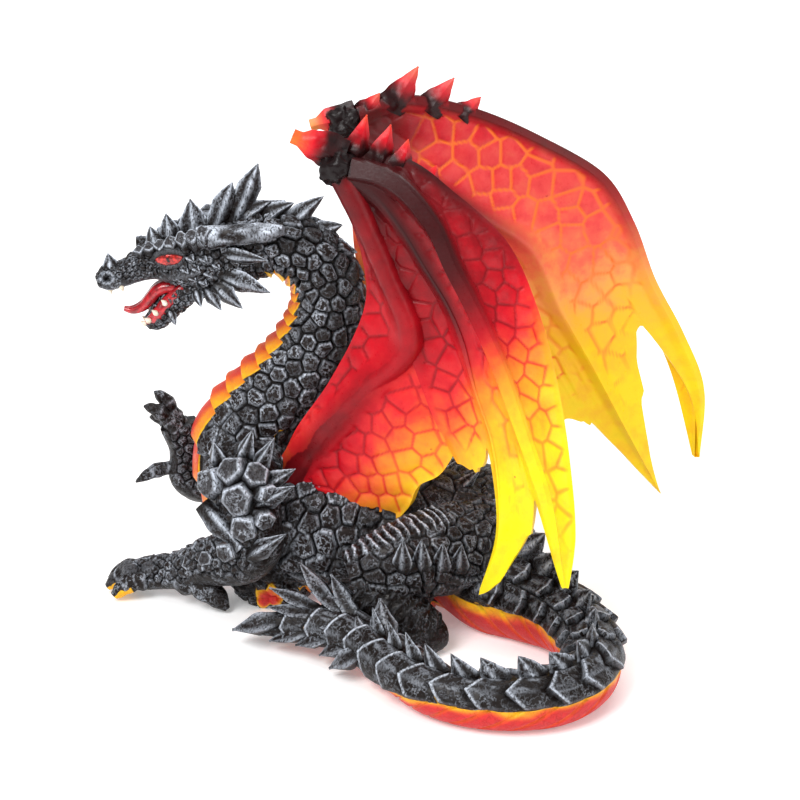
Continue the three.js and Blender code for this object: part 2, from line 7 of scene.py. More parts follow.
import logging
import math
from dataclasses import dataclass, field
from enum import IntEnum
from itertools import product
from typing import Any, Callable, Optional, Sequence

import bmesh
import bpy
import numpy as np
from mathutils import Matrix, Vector


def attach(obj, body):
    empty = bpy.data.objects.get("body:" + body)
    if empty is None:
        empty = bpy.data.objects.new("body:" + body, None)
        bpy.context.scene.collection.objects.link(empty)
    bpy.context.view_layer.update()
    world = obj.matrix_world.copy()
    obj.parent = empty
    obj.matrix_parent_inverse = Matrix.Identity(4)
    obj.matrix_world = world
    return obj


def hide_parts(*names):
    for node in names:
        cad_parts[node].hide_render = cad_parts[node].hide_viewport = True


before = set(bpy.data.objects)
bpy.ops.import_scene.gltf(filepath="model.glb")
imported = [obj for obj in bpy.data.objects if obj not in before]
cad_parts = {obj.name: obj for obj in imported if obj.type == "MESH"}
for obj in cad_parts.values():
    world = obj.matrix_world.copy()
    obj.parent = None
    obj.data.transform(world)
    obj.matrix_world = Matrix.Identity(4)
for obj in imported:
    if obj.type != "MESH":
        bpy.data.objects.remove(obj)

Array = np.ndarray
Row = Sequence[float]
Ramp = tuple[Sequence[float], Sequence[float]]
Stops = Sequence[tuple[float, str]]

LOG = logging.getLogger("dragon")
MM = 0.001
SHIFT = np.array([2.0806, -24.4102, 0.0])  # sculptor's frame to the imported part's origin
TURN = math.radians(12)  # heading of the trunk, turned away from the viewer
RIGHT = np.array([math.sin(TURN), math.cos(TURN), 0.0])
ASIDE = np.array([0.0, 1.0, 0.0])  # sideways for the head, which looks straight ahead
UP = np.array([0.0, 0.0, 1.0])
VIEW_TILT = math.radians(22)  # the photograph looks down by this angle
VIEW_HEIGHT = 66.0  # height above the ground at the middle of the photograph
STAGGER = 0.87  # spacing of staggered rows of scales, as a share of their pitch
BATCH = 4_000_000  # distances worked out at a time
HASH = np.array([73856093, 19349663, 83492791])  # primes that scatter the corners of a lattice
CREASE = math.radians(38)  # an edge between faces that turn by more is shaded as sharp
MARKS = ("rise", "rim", "glow")


class Paint(IntEnum):
    """Place of each finish in a piece's list of materials."""

    SKIN = 0
    MOUTH = 1
    IVORY = 2
    EYE = 3


# Small sums used all over


def smooth(x: Array, low: float, high: float) -> Array:
    """Smooth step from 0 at low to 1 at high, with level ends."""
    t = np.clip((x - low) / (high - low), 0.0, 1.0)
    return t * t * (3.0 - 2.0 * t)


def unit(v: Array) -> Array:
    """Vectors of length one along the last axis."""
    return v / np.maximum(np.linalg.norm(v, axis=-1, keepdims=True), 1e-9)


def grain(points: Array, size: float, seed: int = 0) -> Array:
    """Value noise from -1 to 1: a hashed number at each corner of a lattice, blended smoothly inside a cell.

    Args:
        points: Places in mm, with x, y, z on the last axis.
        size: Lattice spacing in mm.
        seed: Number that picks another pattern.

    Returns:
        One value for each place.
    """
    cell = points / size
    base = np.floor(cell).astype(np.int64)
    part = cell - base
    part = part * part * (3.0 - 2.0 * part)
    total = np.zeros(points.shape[:-1])
    for corner in product((0, 1), repeat=3):
        key = (base + np.array(corner)) * HASH
        mixed = (key[..., 0] ^ key[..., 1] ^ key[..., 2] ^ (seed * 7919)) & 0xFFFFFFFF
        mixed = ((mixed ^ (mixed >> 13)) * 1274126177) & 0xFFFFFFFF
        value = ((mixed ^ (mixed >> 16)) & 0xFFFF) / 32767.5 - 1.0
        weight = np.prod(np.where(np.array(corner) == 1, part, 1.0 - part), axis=-1)
        total += value * weight
    return total


def across(rows: Sequence[Row]) -> list[list[float]]:
    """Rows mirrored over the upright middle plane of the trunk."""
    table = np.array(rows, float)
    table[:, :3] -= 2.0 * (table[:, :3] @ RIGHT)[:, None] * RIGHT
    return table.tolist()


# Shells: closed surfaces with painted marks


@dataclass
class Shell:
    """A closed surface: points, faces, one mark of each kind for every point, and its finish."""

    points: Array
    quads: Array
    tris: Array
    marks: dict[str, Array]
    paint: Paint = Paint.SKIN

    def volume(self) -> float:
        """Signed volume, positive when the faces point outwards."""
        p, q = self.points, self.quads
        fans = np.vstack([q[:, [0, 1, 2]], q[:, [0, 2, 3]], self.tris])
        return float(np.einsum("ij,ij->", p[fans[:, 0]], np.cross(p[fans[:, 1]], p[fans[:, 2]])) / 6.0)

    def outward(self) -> "Shell":
        """The same shell with every face turned outwards."""
        if self.volume() < 0.0:
            self.quads = self.quads[:, ::-1]
            self.tris = self.tris[:, ::-1]
        return self

    def mesh(self, name: str) -> bpy.types.Mesh:
        """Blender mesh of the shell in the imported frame, marks included.

        Args:
            name: Name of the mesh.

        Returns:
            The new mesh.
        """
        mesh = bpy.data.meshes.new(name)
        placed = (self.points - SHIFT) * MM
        # Each quad is split along its shorter diagonal, so that a groove across a slanted quad stays smooth
        q = self.quads
        diagonal = np.linalg.norm(placed[q[:, 0]] - placed[q[:, 2]], axis=1)
        short = diagonal <= np.linalg.norm(placed[q[:, 1]] - placed[q[:, 3]], axis=1)
        turned = np.where(short[:, None], q, np.roll(q, -1, axis=1))
        faces = np.vstack([turned[:, [0, 1, 2]], turned[:, [0, 2, 3]], self.tris]).astype(np.int32)
        mesh.vertices.add(len(placed))
        mesh.vertices.foreach_set("co", placed.astype(np.float32).ravel())
        mesh.loops.add(faces.size)
        mesh.loops.foreach_set("vertex_index", faces.ravel())
        mesh.polygons.add(len(faces))
        mesh.polygons.foreach_set("loop_start", np.arange(0, faces.size, 3, dtype=np.int32))
        mesh.polygons.foreach_set("loop_total", np.full(len(faces), 3, np.int32))
        mesh.polygons.foreach_set("material_index", np.full(len(faces), int(self.paint), np.int32))
        mesh.update(calc_edges=True)
        for mark in MARKS:
            layer = mesh.attributes.new(mark, "FLOAT", "POINT")
            layer.data.foreach_set("value", np.clip(self.marks[mark], 0.0, 1.0).astype(np.float32))
        return mesh


def shell_over(grid: Array, marks: dict[str, Any], back: Optional[Array] = None,
               paint: Paint = Paint.SKIN) -> Shell:
    """Closed shell over rings of points: quads between rings, and each end closed by a fan or a strip.

    Args:
        grid: Points as rings, places round the ring, x y z.
        marks: Values of the marks on the grid; a mark left out is nought.
        back: For a sheet, the front column that each column of its back lies behind; a strip closes its ends.
        paint: Finish of the shell.

    Returns:
        The shell with its faces outwards.
    """
    rings, sides = grid.shape[:2]
    points = grid.reshape(-1, 3)
    value = {m: np.broadcast_to(marks.get(m, 0.0), (rings, sides)).reshape(-1) for m in MARKS}
    i, j = np.meshgrid(np.arange(rings - 1), np.arange(sides), indexing="ij")
    a = (i * sides + j).ravel()
    b = (i * sides + (j + 1) % sides).ravel()
    quads = np.stack([a, b, b + sides, a + sides], axis=1)
    last = (rings - 1) * sides
    if back is not None:
        j = np.arange(sides - len(back) - 1)
        k = np.arange(len(back) - 1)
        owner = sides - np.searchsorted(back, j, side="right")
        strip = np.vstack([
            np.stack([j, owner, j + 1], axis=1),
            np.stack([back[k + 1], sides - 1 - k, sides - 2 - k], axis=1),
        ])
        tris = np.vstack([strip, last + strip[:, ::-1]])
    else:
        centre = len(points)
        points = np.vstack([points, grid[0].mean(axis=0), grid[-1].mean(axis=0)])
        for m in MARKS:
            ends = [value[m][:sides].mean(), value[m][last:].mean()]
            value[m] = np.concatenate([value[m], ends])
        k = np.arange(sides)
        n = (k + 1) % sides
        tris = np.vstack([
            np.stack([np.full(sides, centre), n, k], axis=1),
            np.stack([np.full(sides, centre + 1), last + k, last + n], axis=1),
        ])
    return Shell(points, quads, tris, value, paint).outward()


# Paths and tubes


@dataclass
class Path:
    """Smooth curve through rows of x, y, z and half sizes, by centripetal cubic spans between the rows."""

    rows: Sequence[Row]

    def __post_init__(self) -> None:
        """Keeps the rows as one table with a half width and a half height."""
        self.table = np.array([list(r) + ([r[3]] if len(r) == 4 else []) for r in self.rows], float)

    def at(self, t: Array) -> Array:
        """Rows at t from 0 to 1, in equal shares between the given rows.

        Args:
            t: Places along the path.

        Returns:
            One row for each place: x, y, z, half width, half height.
        """
        rows = self.table
        padded = np.vstack([2 * rows[0] - rows[1], rows, 2 * rows[-1] - rows[-2]])
        step = np.linalg.norm(np.diff(padded[:, :3], axis=0), axis=1) ** 0.5
        place = np.clip(np.asarray(t, float), 0.0, 1.0) * (len(rows) - 1)
        k = np.minimum(place.astype(int), len(rows) - 2)
        x = (place - k)[..., None]
        p0, p1, p2, p3 = (padded[k + n] for n in range(4))
        d0, d1, d2 = (step[k + n][..., None] for n in range(3))
        m1 = ((p1 - p0) / d0 - (p2 - p0) / (d0 + d1) + (p2 - p1) / d1) * d1
        m2 = ((p2 - p1) / d1 - (p3 - p1) / (d1 + d2) + (p3 - p2) / d2) * d1
        cubic = 2 * (p1 - p2) + m1 + m2
        return p1 + x * (m1 + x * (-3 * (p1 - p2) - 2 * m1 - m2 + x * cubic))

    def even(self, count: int) -> Array:
        """Places along the path at equal lengths of arc."""
        fine = np.linspace(0.0, 1.0, 1500)
        legs = np.linalg.norm(np.diff(self.at(fine)[:, :3], axis=0), axis=1)
        arc = np.concatenate([[0.0], np.cumsum(legs)])
        return np.interp(np.linspace(0.0, arc[-1], count), arc, fine)


@dataclass
class Tube:
    """Oval section carried along a path: centre + side * width * sin(angle) + up * height * cos(angle)."""

    path: Path
    rings: int
    sides: int
    sideways: Optional[Array] = None
    square: float = 2.0

    def __post_init__(self) -> None:
        """Works out the rings' centres, axes, half sizes and arc lengths."""
        t = self.path.even(self.rings)
        row = self.path.at(t)
        self.centre = row[:, :3]
        self.half = row[:, 3:5]
        self.along = unit(self.path.at(t + 1e-3)[:, :3] - self.path.at(t - 1e-3)[:, :3])
        if self.sideways is None:
            up = UP - self.along * (self.along @ UP)[:, None]
        else:
            up = np.cross(np.broadcast_to(self.sideways, self.along.shape), self.along)
        self.up = unit(up)
        self.side = np.cross(self.along, self.up)
        legs = np.linalg.norm(np.diff(self.centre, axis=0), axis=1)
        self.arc = np.concatenate([[0.0], np.cumsum(legs)])
        self.angle = np.arange(self.sides) * (2 * math.pi / self.sides)

    def skin(self, lift: Any = 0.0) -> Array:
        """Points of the tube, stood off by lift: a superellipse of the square power, 2 for an oval.

        Args:
            lift: Height above the plain section in mm, one value or one for each point.

        Returns:
            Points as rings, places round, x y z.
        """
        c, s = np.cos(self.angle), np.sin(self.angle)
        out = (np.abs(c) ** self.square + np.abs(s) ** self.square) ** (-1.0 / self.square)
        lift = np.broadcast_to(lift, (self.rings, self.sides))
        wide = (self.half[:, :1] * out + lift) * s
        tall = (self.half[:, 1:] * out + lift) * c
        beside = self.centre[:, None] + self.side[:, None] * wide[..., None]
        return beside + self.up[:, None] * tall[..., None]

    def top(self, place: float, lift: float) -> Array:
        """Point at a height over the plain skin's top, at a share of the length."""
        i = int(round(np.interp(place * self.arc[-1], self.arc, np.arange(self.rings))))
        return self.centre[i] + self.up[i] * (self.half[i, 1] + lift)

    def seeds(self, pitch: Callable[[float], float], rng: np.random.Generator) -> Array:
        """Scale centres in staggered rows round the tube, with a little scatter.

        Args:
            pitch: Scale size in mm for a half width.
            rng: Source of the scatter.

        Returns:
            Centres as x, y, z.
        """
        found = []
        at, row = 0.0, 0
        while at < self.arc[-1]:
            half = np.interp(at, self.arc, self.half.mean(axis=1))
            size = pitch(half)
            count = max(5, int(round(2 * math.pi * half / size)))
            turn = np.arange(count) + 0.5 * (row % 2) + rng.uniform(-0.22, 0.22, count)
            turn = turn * 2 * math.pi / count
            place = np.clip(at + rng.uniform(-0.22, 0.22, count) * size, 0.0, self.arc[-1])
            ring = np.interp(place, self.arc, np.arange(self.rings)).astype(int)
            wide = self.half[ring, 0] * np.sin(turn)
            tall = self.half[ring, 1] * np.cos(turn)
            found.append(self.centre[ring] + self.side[ring] * wide[:, None] + self.up[ring] * tall[:, None])
            at += STAGGER * size
            row += 1
        return np.vstack(found)


@dataclass
class Relief:
    """Lift over a skin and the marks that go with it."""

    lift: Array
    rise: Array
    rim: Array
    glow: Array

    def mixed(self, other: "Relief", share: Array) -> "Relief":
        """Blend with another relief, which holds where share is one."""
        pairs = ((getattr(self, n), getattr(other, n)) for n in ("lift", "rise", "rim", "glow"))
        return Relief(*(a * (1.0 - share) + b * share for a, b in pairs))

    def over(self, tube: Tube) -> Shell:
        """The relief laid over a tube."""
        return shell_over(tube.skin(self.lift), {"rise": self.rise, "rim": self.rim, "glow": self.glow})


def cells(points: Array, seeds: Array) -> tuple[Array, Array, Array]:
    """Cell of each point among scattered seeds: the nearest one, and the distance to the cell's border.

    The border lies half way to a neighbour: its distance is (far^2 - near^2) / (2 * spacing), least of three.

    Args:
        points: Places, with the coordinates on the last axis.
        seeds: Cell centres.

    Returns:
        Index of the cell, distance to its centre and distance to its border, each in the shape of the points.
    """
    flat = points.reshape(-1, points.shape[-1])
    index, near, border = [], [], []
    for part in np.array_split(flat, max(1, len(flat) * len(seeds) // BATCH)):
        square = (part ** 2).sum(1)[:, None] + (seeds ** 2).sum(1) - 2.0 * part @ seeds.T
        close = np.argpartition(square, 3, axis=1)[:, :4]
        dist = np.take_along_axis(square, close, axis=1)
        order = np.argsort(dist, axis=1)
        close = np.take_along_axis(close, order, axis=1)
        dist = np.maximum(np.take_along_axis(dist, order, axis=1), 0.0)
        apart = np.linalg.norm(seeds[close[:, 1:]] - seeds[close[:, :1]], axis=2)
        border.append(((dist[:, 1:] - dist[:, :1]) / (2.0 * apart)).min(axis=1))
        near.append(np.sqrt(dist[:, 0]))
        index.append(close[:, 0])
    index, near, border = (np.concatenate(part).reshape(points.shape[:-1]) for part in (index, near, border))
    return index, near, border


def plates(points: Array, seeds: Array, size: float, depth: float, rng: np.random.Generator) -> Relief:
    """Carved scales: a flat top with a bevelled edge down to the groove, each scale tipped its own way.

    Args:
        points: Places on the plain skin.
        seeds: Scale centres.
        size: Scale size in mm.
        depth: Depth of the grooves in mm.
        rng: Source of each scale's own height and tip.

    Returns:
        The relief, with dry-brushed rims.
    """
    index, near, border = cells(points, seeds)
    top = smooth(border, 0.02 * size, 0.12 * size)
    tip = rng.normal(0.0, 0.14, (len(seeds), 3))
    own = rng.uniform(-0.25, 0.25, len(seeds)) * depth
    slope = np.einsum("...k,...k->...", points - seeds[index], tip[index])
    dome = 0.4 * depth * (1.0 - np.minimum(near / (0.6 * size), 1.3) ** 2)
    pits = 0.12 * depth * grain(points, 0.14 * size, 3) + 0.2 * depth * grain(points, 0.3 * size, 5)
    lift = depth * (top - 1.0) + (slope + own[index] + dome + pits) * top
    rim = smooth(border, 0.07 * size, 0.11 * size) * (1.0 - smooth(border, 0.12 * size, 0.19 * size))
    bright = rng.uniform(0.1, 1.0, len(seeds))[index]
    rise = smooth(border, 0.02 * size, 0.16 * size) * (0.35 + 0.65 * bright)
    return Relief(lift, rise, 0.8 * rim * bright, np.zeros_like(lift))


# Horns, blades and rocks


@dataclass
class Blade:
    """Keeled blade: a four-edged section that swells from the foot and draws to a point, with a sweep."""

    foot: Row
    tip: Row
    width: float
    thick: float
    hint: Row = (0.0, 0.0, 1.0)
    belly: float = 0.0
    root: float = 0.62
    widest: float = 0.36
    blunt: float = 0.02
    sweep: Row = (0.0, 0.0, 0.0)
    sharp: float = 1.12
    rings: int = 18
    sides: int = 24
    brush: float = 1.0
    paint: Paint = Paint.SKIN

    def shell(self) -> Shell:
        """Points = foot + along * u + (wide * cos + deep * sin) * section * swell, with small chipped facets.

        Returns:
            The closed shell of the blade.
        """
        foot, tip = np.array(self.foot, float), np.array(self.tip, float)
        along = unit(tip - foot)
        wide = np.cross(along, np.array(self.hint, float))
        if np.linalg.norm(wide) < 1e-3:
            wide = np.array([1.0, 0.0, 0.0])
        wide = unit(wide)
        deep = np.cross(wide, along)
        u = np.linspace(0.0, 1.0, self.rings)
        u = 1.0 - (1.0 - u) ** 1.15
        early = self.root + (1.0 - self.root) * np.sin(np.clip(u / self.widest, 0.0, 1.0) * math.pi / 2)
        late = np.clip((1.0 - u) / (1.0 - self.widest), 0.0, 1.0) ** 0.85
        swell = (1.0 - self.belly) * (1.0 - u) ** 0.85 + self.belly * np.where(u < self.widest, early, late)
        swell = np.maximum(swell, self.blunt)
        angle = np.arange(self.sides) * (2 * math.pi / self.sides)
        c, s = np.cos(angle), np.sin(angle)
        section = (np.abs(c) ** self.sharp + np.abs(s) ** self.sharp) ** (-1.0 / self.sharp)
        bend = np.array(self.sweep, float) * (u * (1.0 - u))[:, None] * 4.0
        middle = foot + (tip - foot) * u[:, None] + bend
        x = (0.5 * self.width * swell)[:, None] * (section * c)
        y = (0.5 * self.thick * swell)[:, None] * (section * s)
        grid = middle[:, None] + wide * x[..., None] + deep * y[..., None]
        chips = 0.07 * self.thick * grain(grid, 0.3 * self.width + 0.4, 11) * np.minimum(swell, 1.0)[:, None]
        grid = grid + unit(grid - middle[:, None]) * chips[..., None]
        ridge = np.maximum(np.abs(c), np.abs(s)) ** 24
        worn_tip = 0.6 * smooth(u, 0.88, 1.0)[:, None]
        rim = self.brush * np.maximum(ridge * smooth(u, 0.02, 0.3)[:, None], worn_tip)
        rise = 0.15 + 0.5 * smooth(u, 0.1, 0.6)[:, None]
        return shell_over(grid, {"rise": rise, "rim": rim}, paint=self.paint)


@dataclass
class Rock:
    """Armour rock: an uneven polygon with a flat pitted top, a worn bevel and sides that flare out."""

    top: Row
    outward: Row
    size: float
    corners: int = 5
    seed: int = 0
    around: int = 48

    def shell(self) -> Shell:
        """Radius = least of side distance / cos(angle - side), times a profile over the height.

        Returns:
            The closed shell of the rock.
        """
        rng = np.random.default_rng(100 + self.seed)
        out = unit(np.array(self.outward, float))
        wide = unit(np.cross(out, [0.31, 0.2, 0.93]))
        deep = np.cross(out, wide)
        angle = np.arange(self.around) * (2 * math.pi / self.around)
        sides = np.arange(self.corners) + rng.uniform(-0.18, 0.18, self.corners)
        sides = sides * 2 * math.pi / self.corners
        apart = rng.uniform(0.86, 1.1, self.corners)
        facing = np.cos(angle[:, None] - sides)
        radius = np.where(facing > 0.2, apart / np.maximum(facing, 0.2), 9.0).min(axis=1)
        radius = np.minimum(radius, 1.32)
        reach = np.array([0.0, 0.2, 0.4, 0.6, 0.74, 0.8, 0.86, 0.93, 1.0, 1.06, 1.1, 1.05, 0.6, 0.0])
        level = -np.array([0.0, 0.0, 0.0, 0.01, 0.03, 0.05, 0.12, 0.28, 0.45, 0.65, 0.85, 1.05, 1.1, 1.1])
        edge = np.exp(-((reach - 0.8) / 0.09) ** 2)
        size = 0.45 * self.size
        flat = (np.cos(angle)[:, None] * wide + np.sin(angle)[:, None] * deep) * radius[:, None]
        grid = reach[:, None, None] * size * flat
        lean = rng.uniform(-0.2, 0.2, 2)
        tip = grid @ wide * lean[0] + grid @ deep * lean[1]
        face = np.where(reach < 0.85, 1.0, np.clip((1.2 - reach) / 0.35, 0.0, 1.0))[:, None]
        chips = 0.045 * self.size * grain(grid + np.array(self.top), 0.17 * self.size, 7)
        height = level[:, None] * self.size + tip * face + chips
        grid = np.array(self.top, float) + grid + out * height[..., None]
        rim = (0.06 * (reach < 0.8) + edge)[1:-1, None]
        rise = np.where(reach < 0.9, 1.0, 0.4)[1:-1, None]
        return shell_over(grid[1:-1], {"rise": rise, "rim": rim})


def ball(centre: Row, half: Row, relief: Callable[[Array], Array], rings: int = 30, sides: int = 44,
         **marks: float) -> Shell:
    """Ellipsoid about upright poles: centre + half * (sin a cos b, sin a sin b, cos a), plus a relief.

    Args:
        centre: Middle of the ellipsoid.
        half: Half sizes along x, y and z.
        relief: Function of the points that gives the lift in mm.
        rings: Steps from pole to pole.
        sides: Steps round.
        **marks: Values of the marks over the whole ellipsoid.

    Returns:
        The closed shell.
    """
    a = np.linspace(0.03, math.pi - 0.03, rings)[:, None]
    b = (np.arange(sides) * (2 * math.pi / sides))[None]
    way = np.stack([np.sin(a) * np.cos(b), np.sin(a) * np.sin(b), np.cos(a) + 0.0 * b], axis=-1)
    grid = np.array(centre, float) + way * np.array(half, float)
    grid = grid + unit(way / np.array(half, float)) * relief(grid)[..., None]
    return shell_over(grid, marks)


# Finishes


def linear(code: str) -> tuple[float, float, float, float]:
    """Linear colour of an sRGB hex code: c / 12.92 below 0.04045, else ((c + 0.055) / 1.055) ^ 2.4."""
    part = [int(code[k:k + 2], 16) / 255.0 for k in (0, 2, 4)]
    lin = [c / 12.92 if c <= 0.04045 else ((c + 0.055) / 1.055) ** 2.4 for c in part]
    return (lin[0], lin[1], lin[2], 1.0)


def add(tree: bpy.types.NodeTree, kind: str, settings: Optional[dict[str, Any]] = None,
        joins: Optional[dict[Any, Any]] = None) -> bpy.types.Node:
    """Adds one node to a material.

    Args:
        tree: Node tree of the material.
        kind: Type of the node.
        settings: Properties of the node; "stops" are places and hex colours of a colour ramp, from 0 to 1.
        joins: Inputs by name or number, each a value or a socket to link from.

    Returns:
        The new node.
    """
    made = tree.nodes.new(kind)
    for name, value in (settings or {}).items():
        if name == "stops":
            ramp = made.color_ramp.elements
            ramp[0].color = linear(value[0][1])
            ramp[1].color = linear(value[-1][1])
            for place, code in value[1:-1]:
                ramp.new(place).color = linear(code)
        else:
            setattr(made, name, value)
    for name, value in (joins or {}).items():
        if isinstance(value, bpy.types.NodeSocket):
            tree.links.new(value, made.inputs[name])
        else:
            made.inputs[name].default_value = value
    return made


SHADE = ((0.0, "140809"), (0.2, "4a090d"), (0.34, "8e0a16"))
LAVA = SHADE + ((0.46, "c20f1f"), (0.54, "d92a2a"), (0.6, "e2462a"), (0.72, "ee7f28"), (0.84, "f4a825"),
                (0.93, "f7cb20"), (1.0, "f9e216"))
# A paler copy of LAVA for the right wing: its lighter pink and peach shades are partly the paint and partly
# painted sheen and light
PALE_LAVA_PAINTED_SHEEN = SHADE + ((0.46, "c9252e"), (0.54, "db4440"), (0.62, "e76548"), (0.72, "f09a4e"), (0.82, "f2ae32"),
                  (0.93, "f2bb20"), (1.0, "f5d018"))
EMBER = ((0.0, "2a1408"), (0.5, "80500f"), (0.56, "f2bd1e"), (0.64, "ef9f24"), (0.72, "e87528"),
         (0.8, "d9442b"), (0.88, "c4202d"), (1.0, "7d0f18"))


def blank(name: str) -> tuple[bpy.types.Material, bpy.types.NodeTree]:
    """New material with an empty node tree."""
    material = bpy.data.materials.new(name)
    material.use_nodes = True
    material.node_tree.nodes.clear()
    return material, material.node_tree


@dataclass(frozen=True)
class CharcoalResin:
    """Cast resin under black acrylic, dry-brushed with a pale blue-grey and touched with lava paint."""

    name: str = "dry_brushed_charcoal_resin"
    groove: str = "0c0604"
    skin: str = "190f0c"
    brush: str = "d3dbe8"
    bristle_mm: float = 0.6
    crackle_mm: float = 2.2
    patch_mm: float = 6.0

    def material(self) -> bpy.types.Material:
        """Black satin paint: raised rims and a crackle on the tops catch a pale brush broken by its bristles.

        Returns:
            The material.
        """
        material, tree = blank(self.name)
        place = add(tree, "ShaderNodeTexCoord").outputs["Object"]
        rise, rim, glow = (add(tree, "ShaderNodeAttribute", {"attribute_name": mark}).outputs["Fac"]
                           for mark in MARKS)
        # Bristles drag the paint downwards, so their marks are longer upright than across
        drag = add(tree, "ShaderNodeMapping", None, {"Vector": place, "Scale": (1.0, 1.0, 0.5)})
        bristle = add(tree, "ShaderNodeTexNoise", None,
                      {"Vector": drag.outputs[0], "Scale": 1 / (self.bristle_mm * MM), "Detail": 3.0,
                       "Roughness": 0.6})
        patch = add(tree, "ShaderNodeTexNoise", None,
                    {"Vector": place, "Scale": 1 / (self.patch_mm * MM), "Detail": 3.0})
        broken = add(tree, "ShaderNodeMapRange", None,
                     {"Value": bristle.outputs["Fac"], "From Min": 0.36, "From Max": 0.54, "To Min": 0.1})
        # Crackle: the lines where a rough noise crosses its middle value, crooked and never closed into a net
        crust = add(tree, "ShaderNodeTexNoise", None,
                    {"Vector": place, "Scale": 1 / (self.crackle_mm * MM), "Detail": 5.0, "Roughness": 0.62})
        level = add(tree, "ShaderNodeMath", {"operation": "SUBTRACT"}, {0: crust.outputs["Fac"], 1: 0.5})
        apart = add(tree, "ShaderNodeMath", {"operation": "ABSOLUTE"}, {0: level.outputs[0]})
        wall = add(tree, "ShaderNodeMapRange", None,
                   {"Value": apart.outputs[0], "From Min": 0.008, "From Max": 0.05,
                    "To Min": 1.0, "To Max": 0.0})
        share = add(tree, "ShaderNodeMapRange", None,
                    {"Value": patch.outputs["Fac"], "From Min": 0.42, "From Max": 0.62,
                     "To Min": 0.12, "To Max": 0.75})
        # The brush takes the rims and the crackle on raised tops, wherever the bristles touch
        dry = wall.outputs[0]
        for operation, other in (("MULTIPLY", share.outputs[0]), ("MULTIPLY", rise), ("MAXIMUM", rim),
                                 ("MULTIPLY", broken.outputs[0])):
            dry = add(tree, "ShaderNodeMath", {"operation": operation}, {0: dry, 1: other}).outputs[0]
        ground = add(tree, "ShaderNodeMix", {"data_type": "RGBA"},
                     {"Factor": rise, "A": linear(self.groove), "B": linear(self.skin)})
        brushed = add(tree, "ShaderNodeMix", {"data_type": "RGBA"},
                      {"Factor": dry, "A": ground.outputs["Result"], "B": linear(self.brush)})
        lava = add(tree, "ShaderNodeValToRGB", {"stops": EMBER}, {"Fac": glow})
        much = add(tree, "ShaderNodeMapRange", None, {"Value": glow, "From Min": 0.44, "From Max": 0.56})
        painted = add(tree, "ShaderNodeMix", {"data_type": "RGBA"},
                      {"Factor": much.outputs[0], "A": brushed.outputs["Result"], "B": lava.outputs["Color"]})
        rough = add(tree, "ShaderNodeMapRange", None,
                    {"Value": patch.outputs["Fac"], "From Min": 0.3, "From Max": 0.7,
                     "To Min": 0.32, "To Max": 0.5})
        bump = add(tree, "ShaderNodeBump", None,
                   {"Height": wall.outputs[0], "Strength": 0.6, "Distance": 0.3 * MM})
        shader = add(tree, "ShaderNodeBsdfPrincipled", None,
                     {"Base Color": painted.outputs["Result"], "Roughness": rough.outputs[0],
                      "Normal": bump.outputs["Normal"], "IOR": 1.46, "Specular IOR Level": 0.25})
        add(tree, "ShaderNodeOutputMaterial", None, {"Surface": shader.outputs["BSDF"]})
        return material


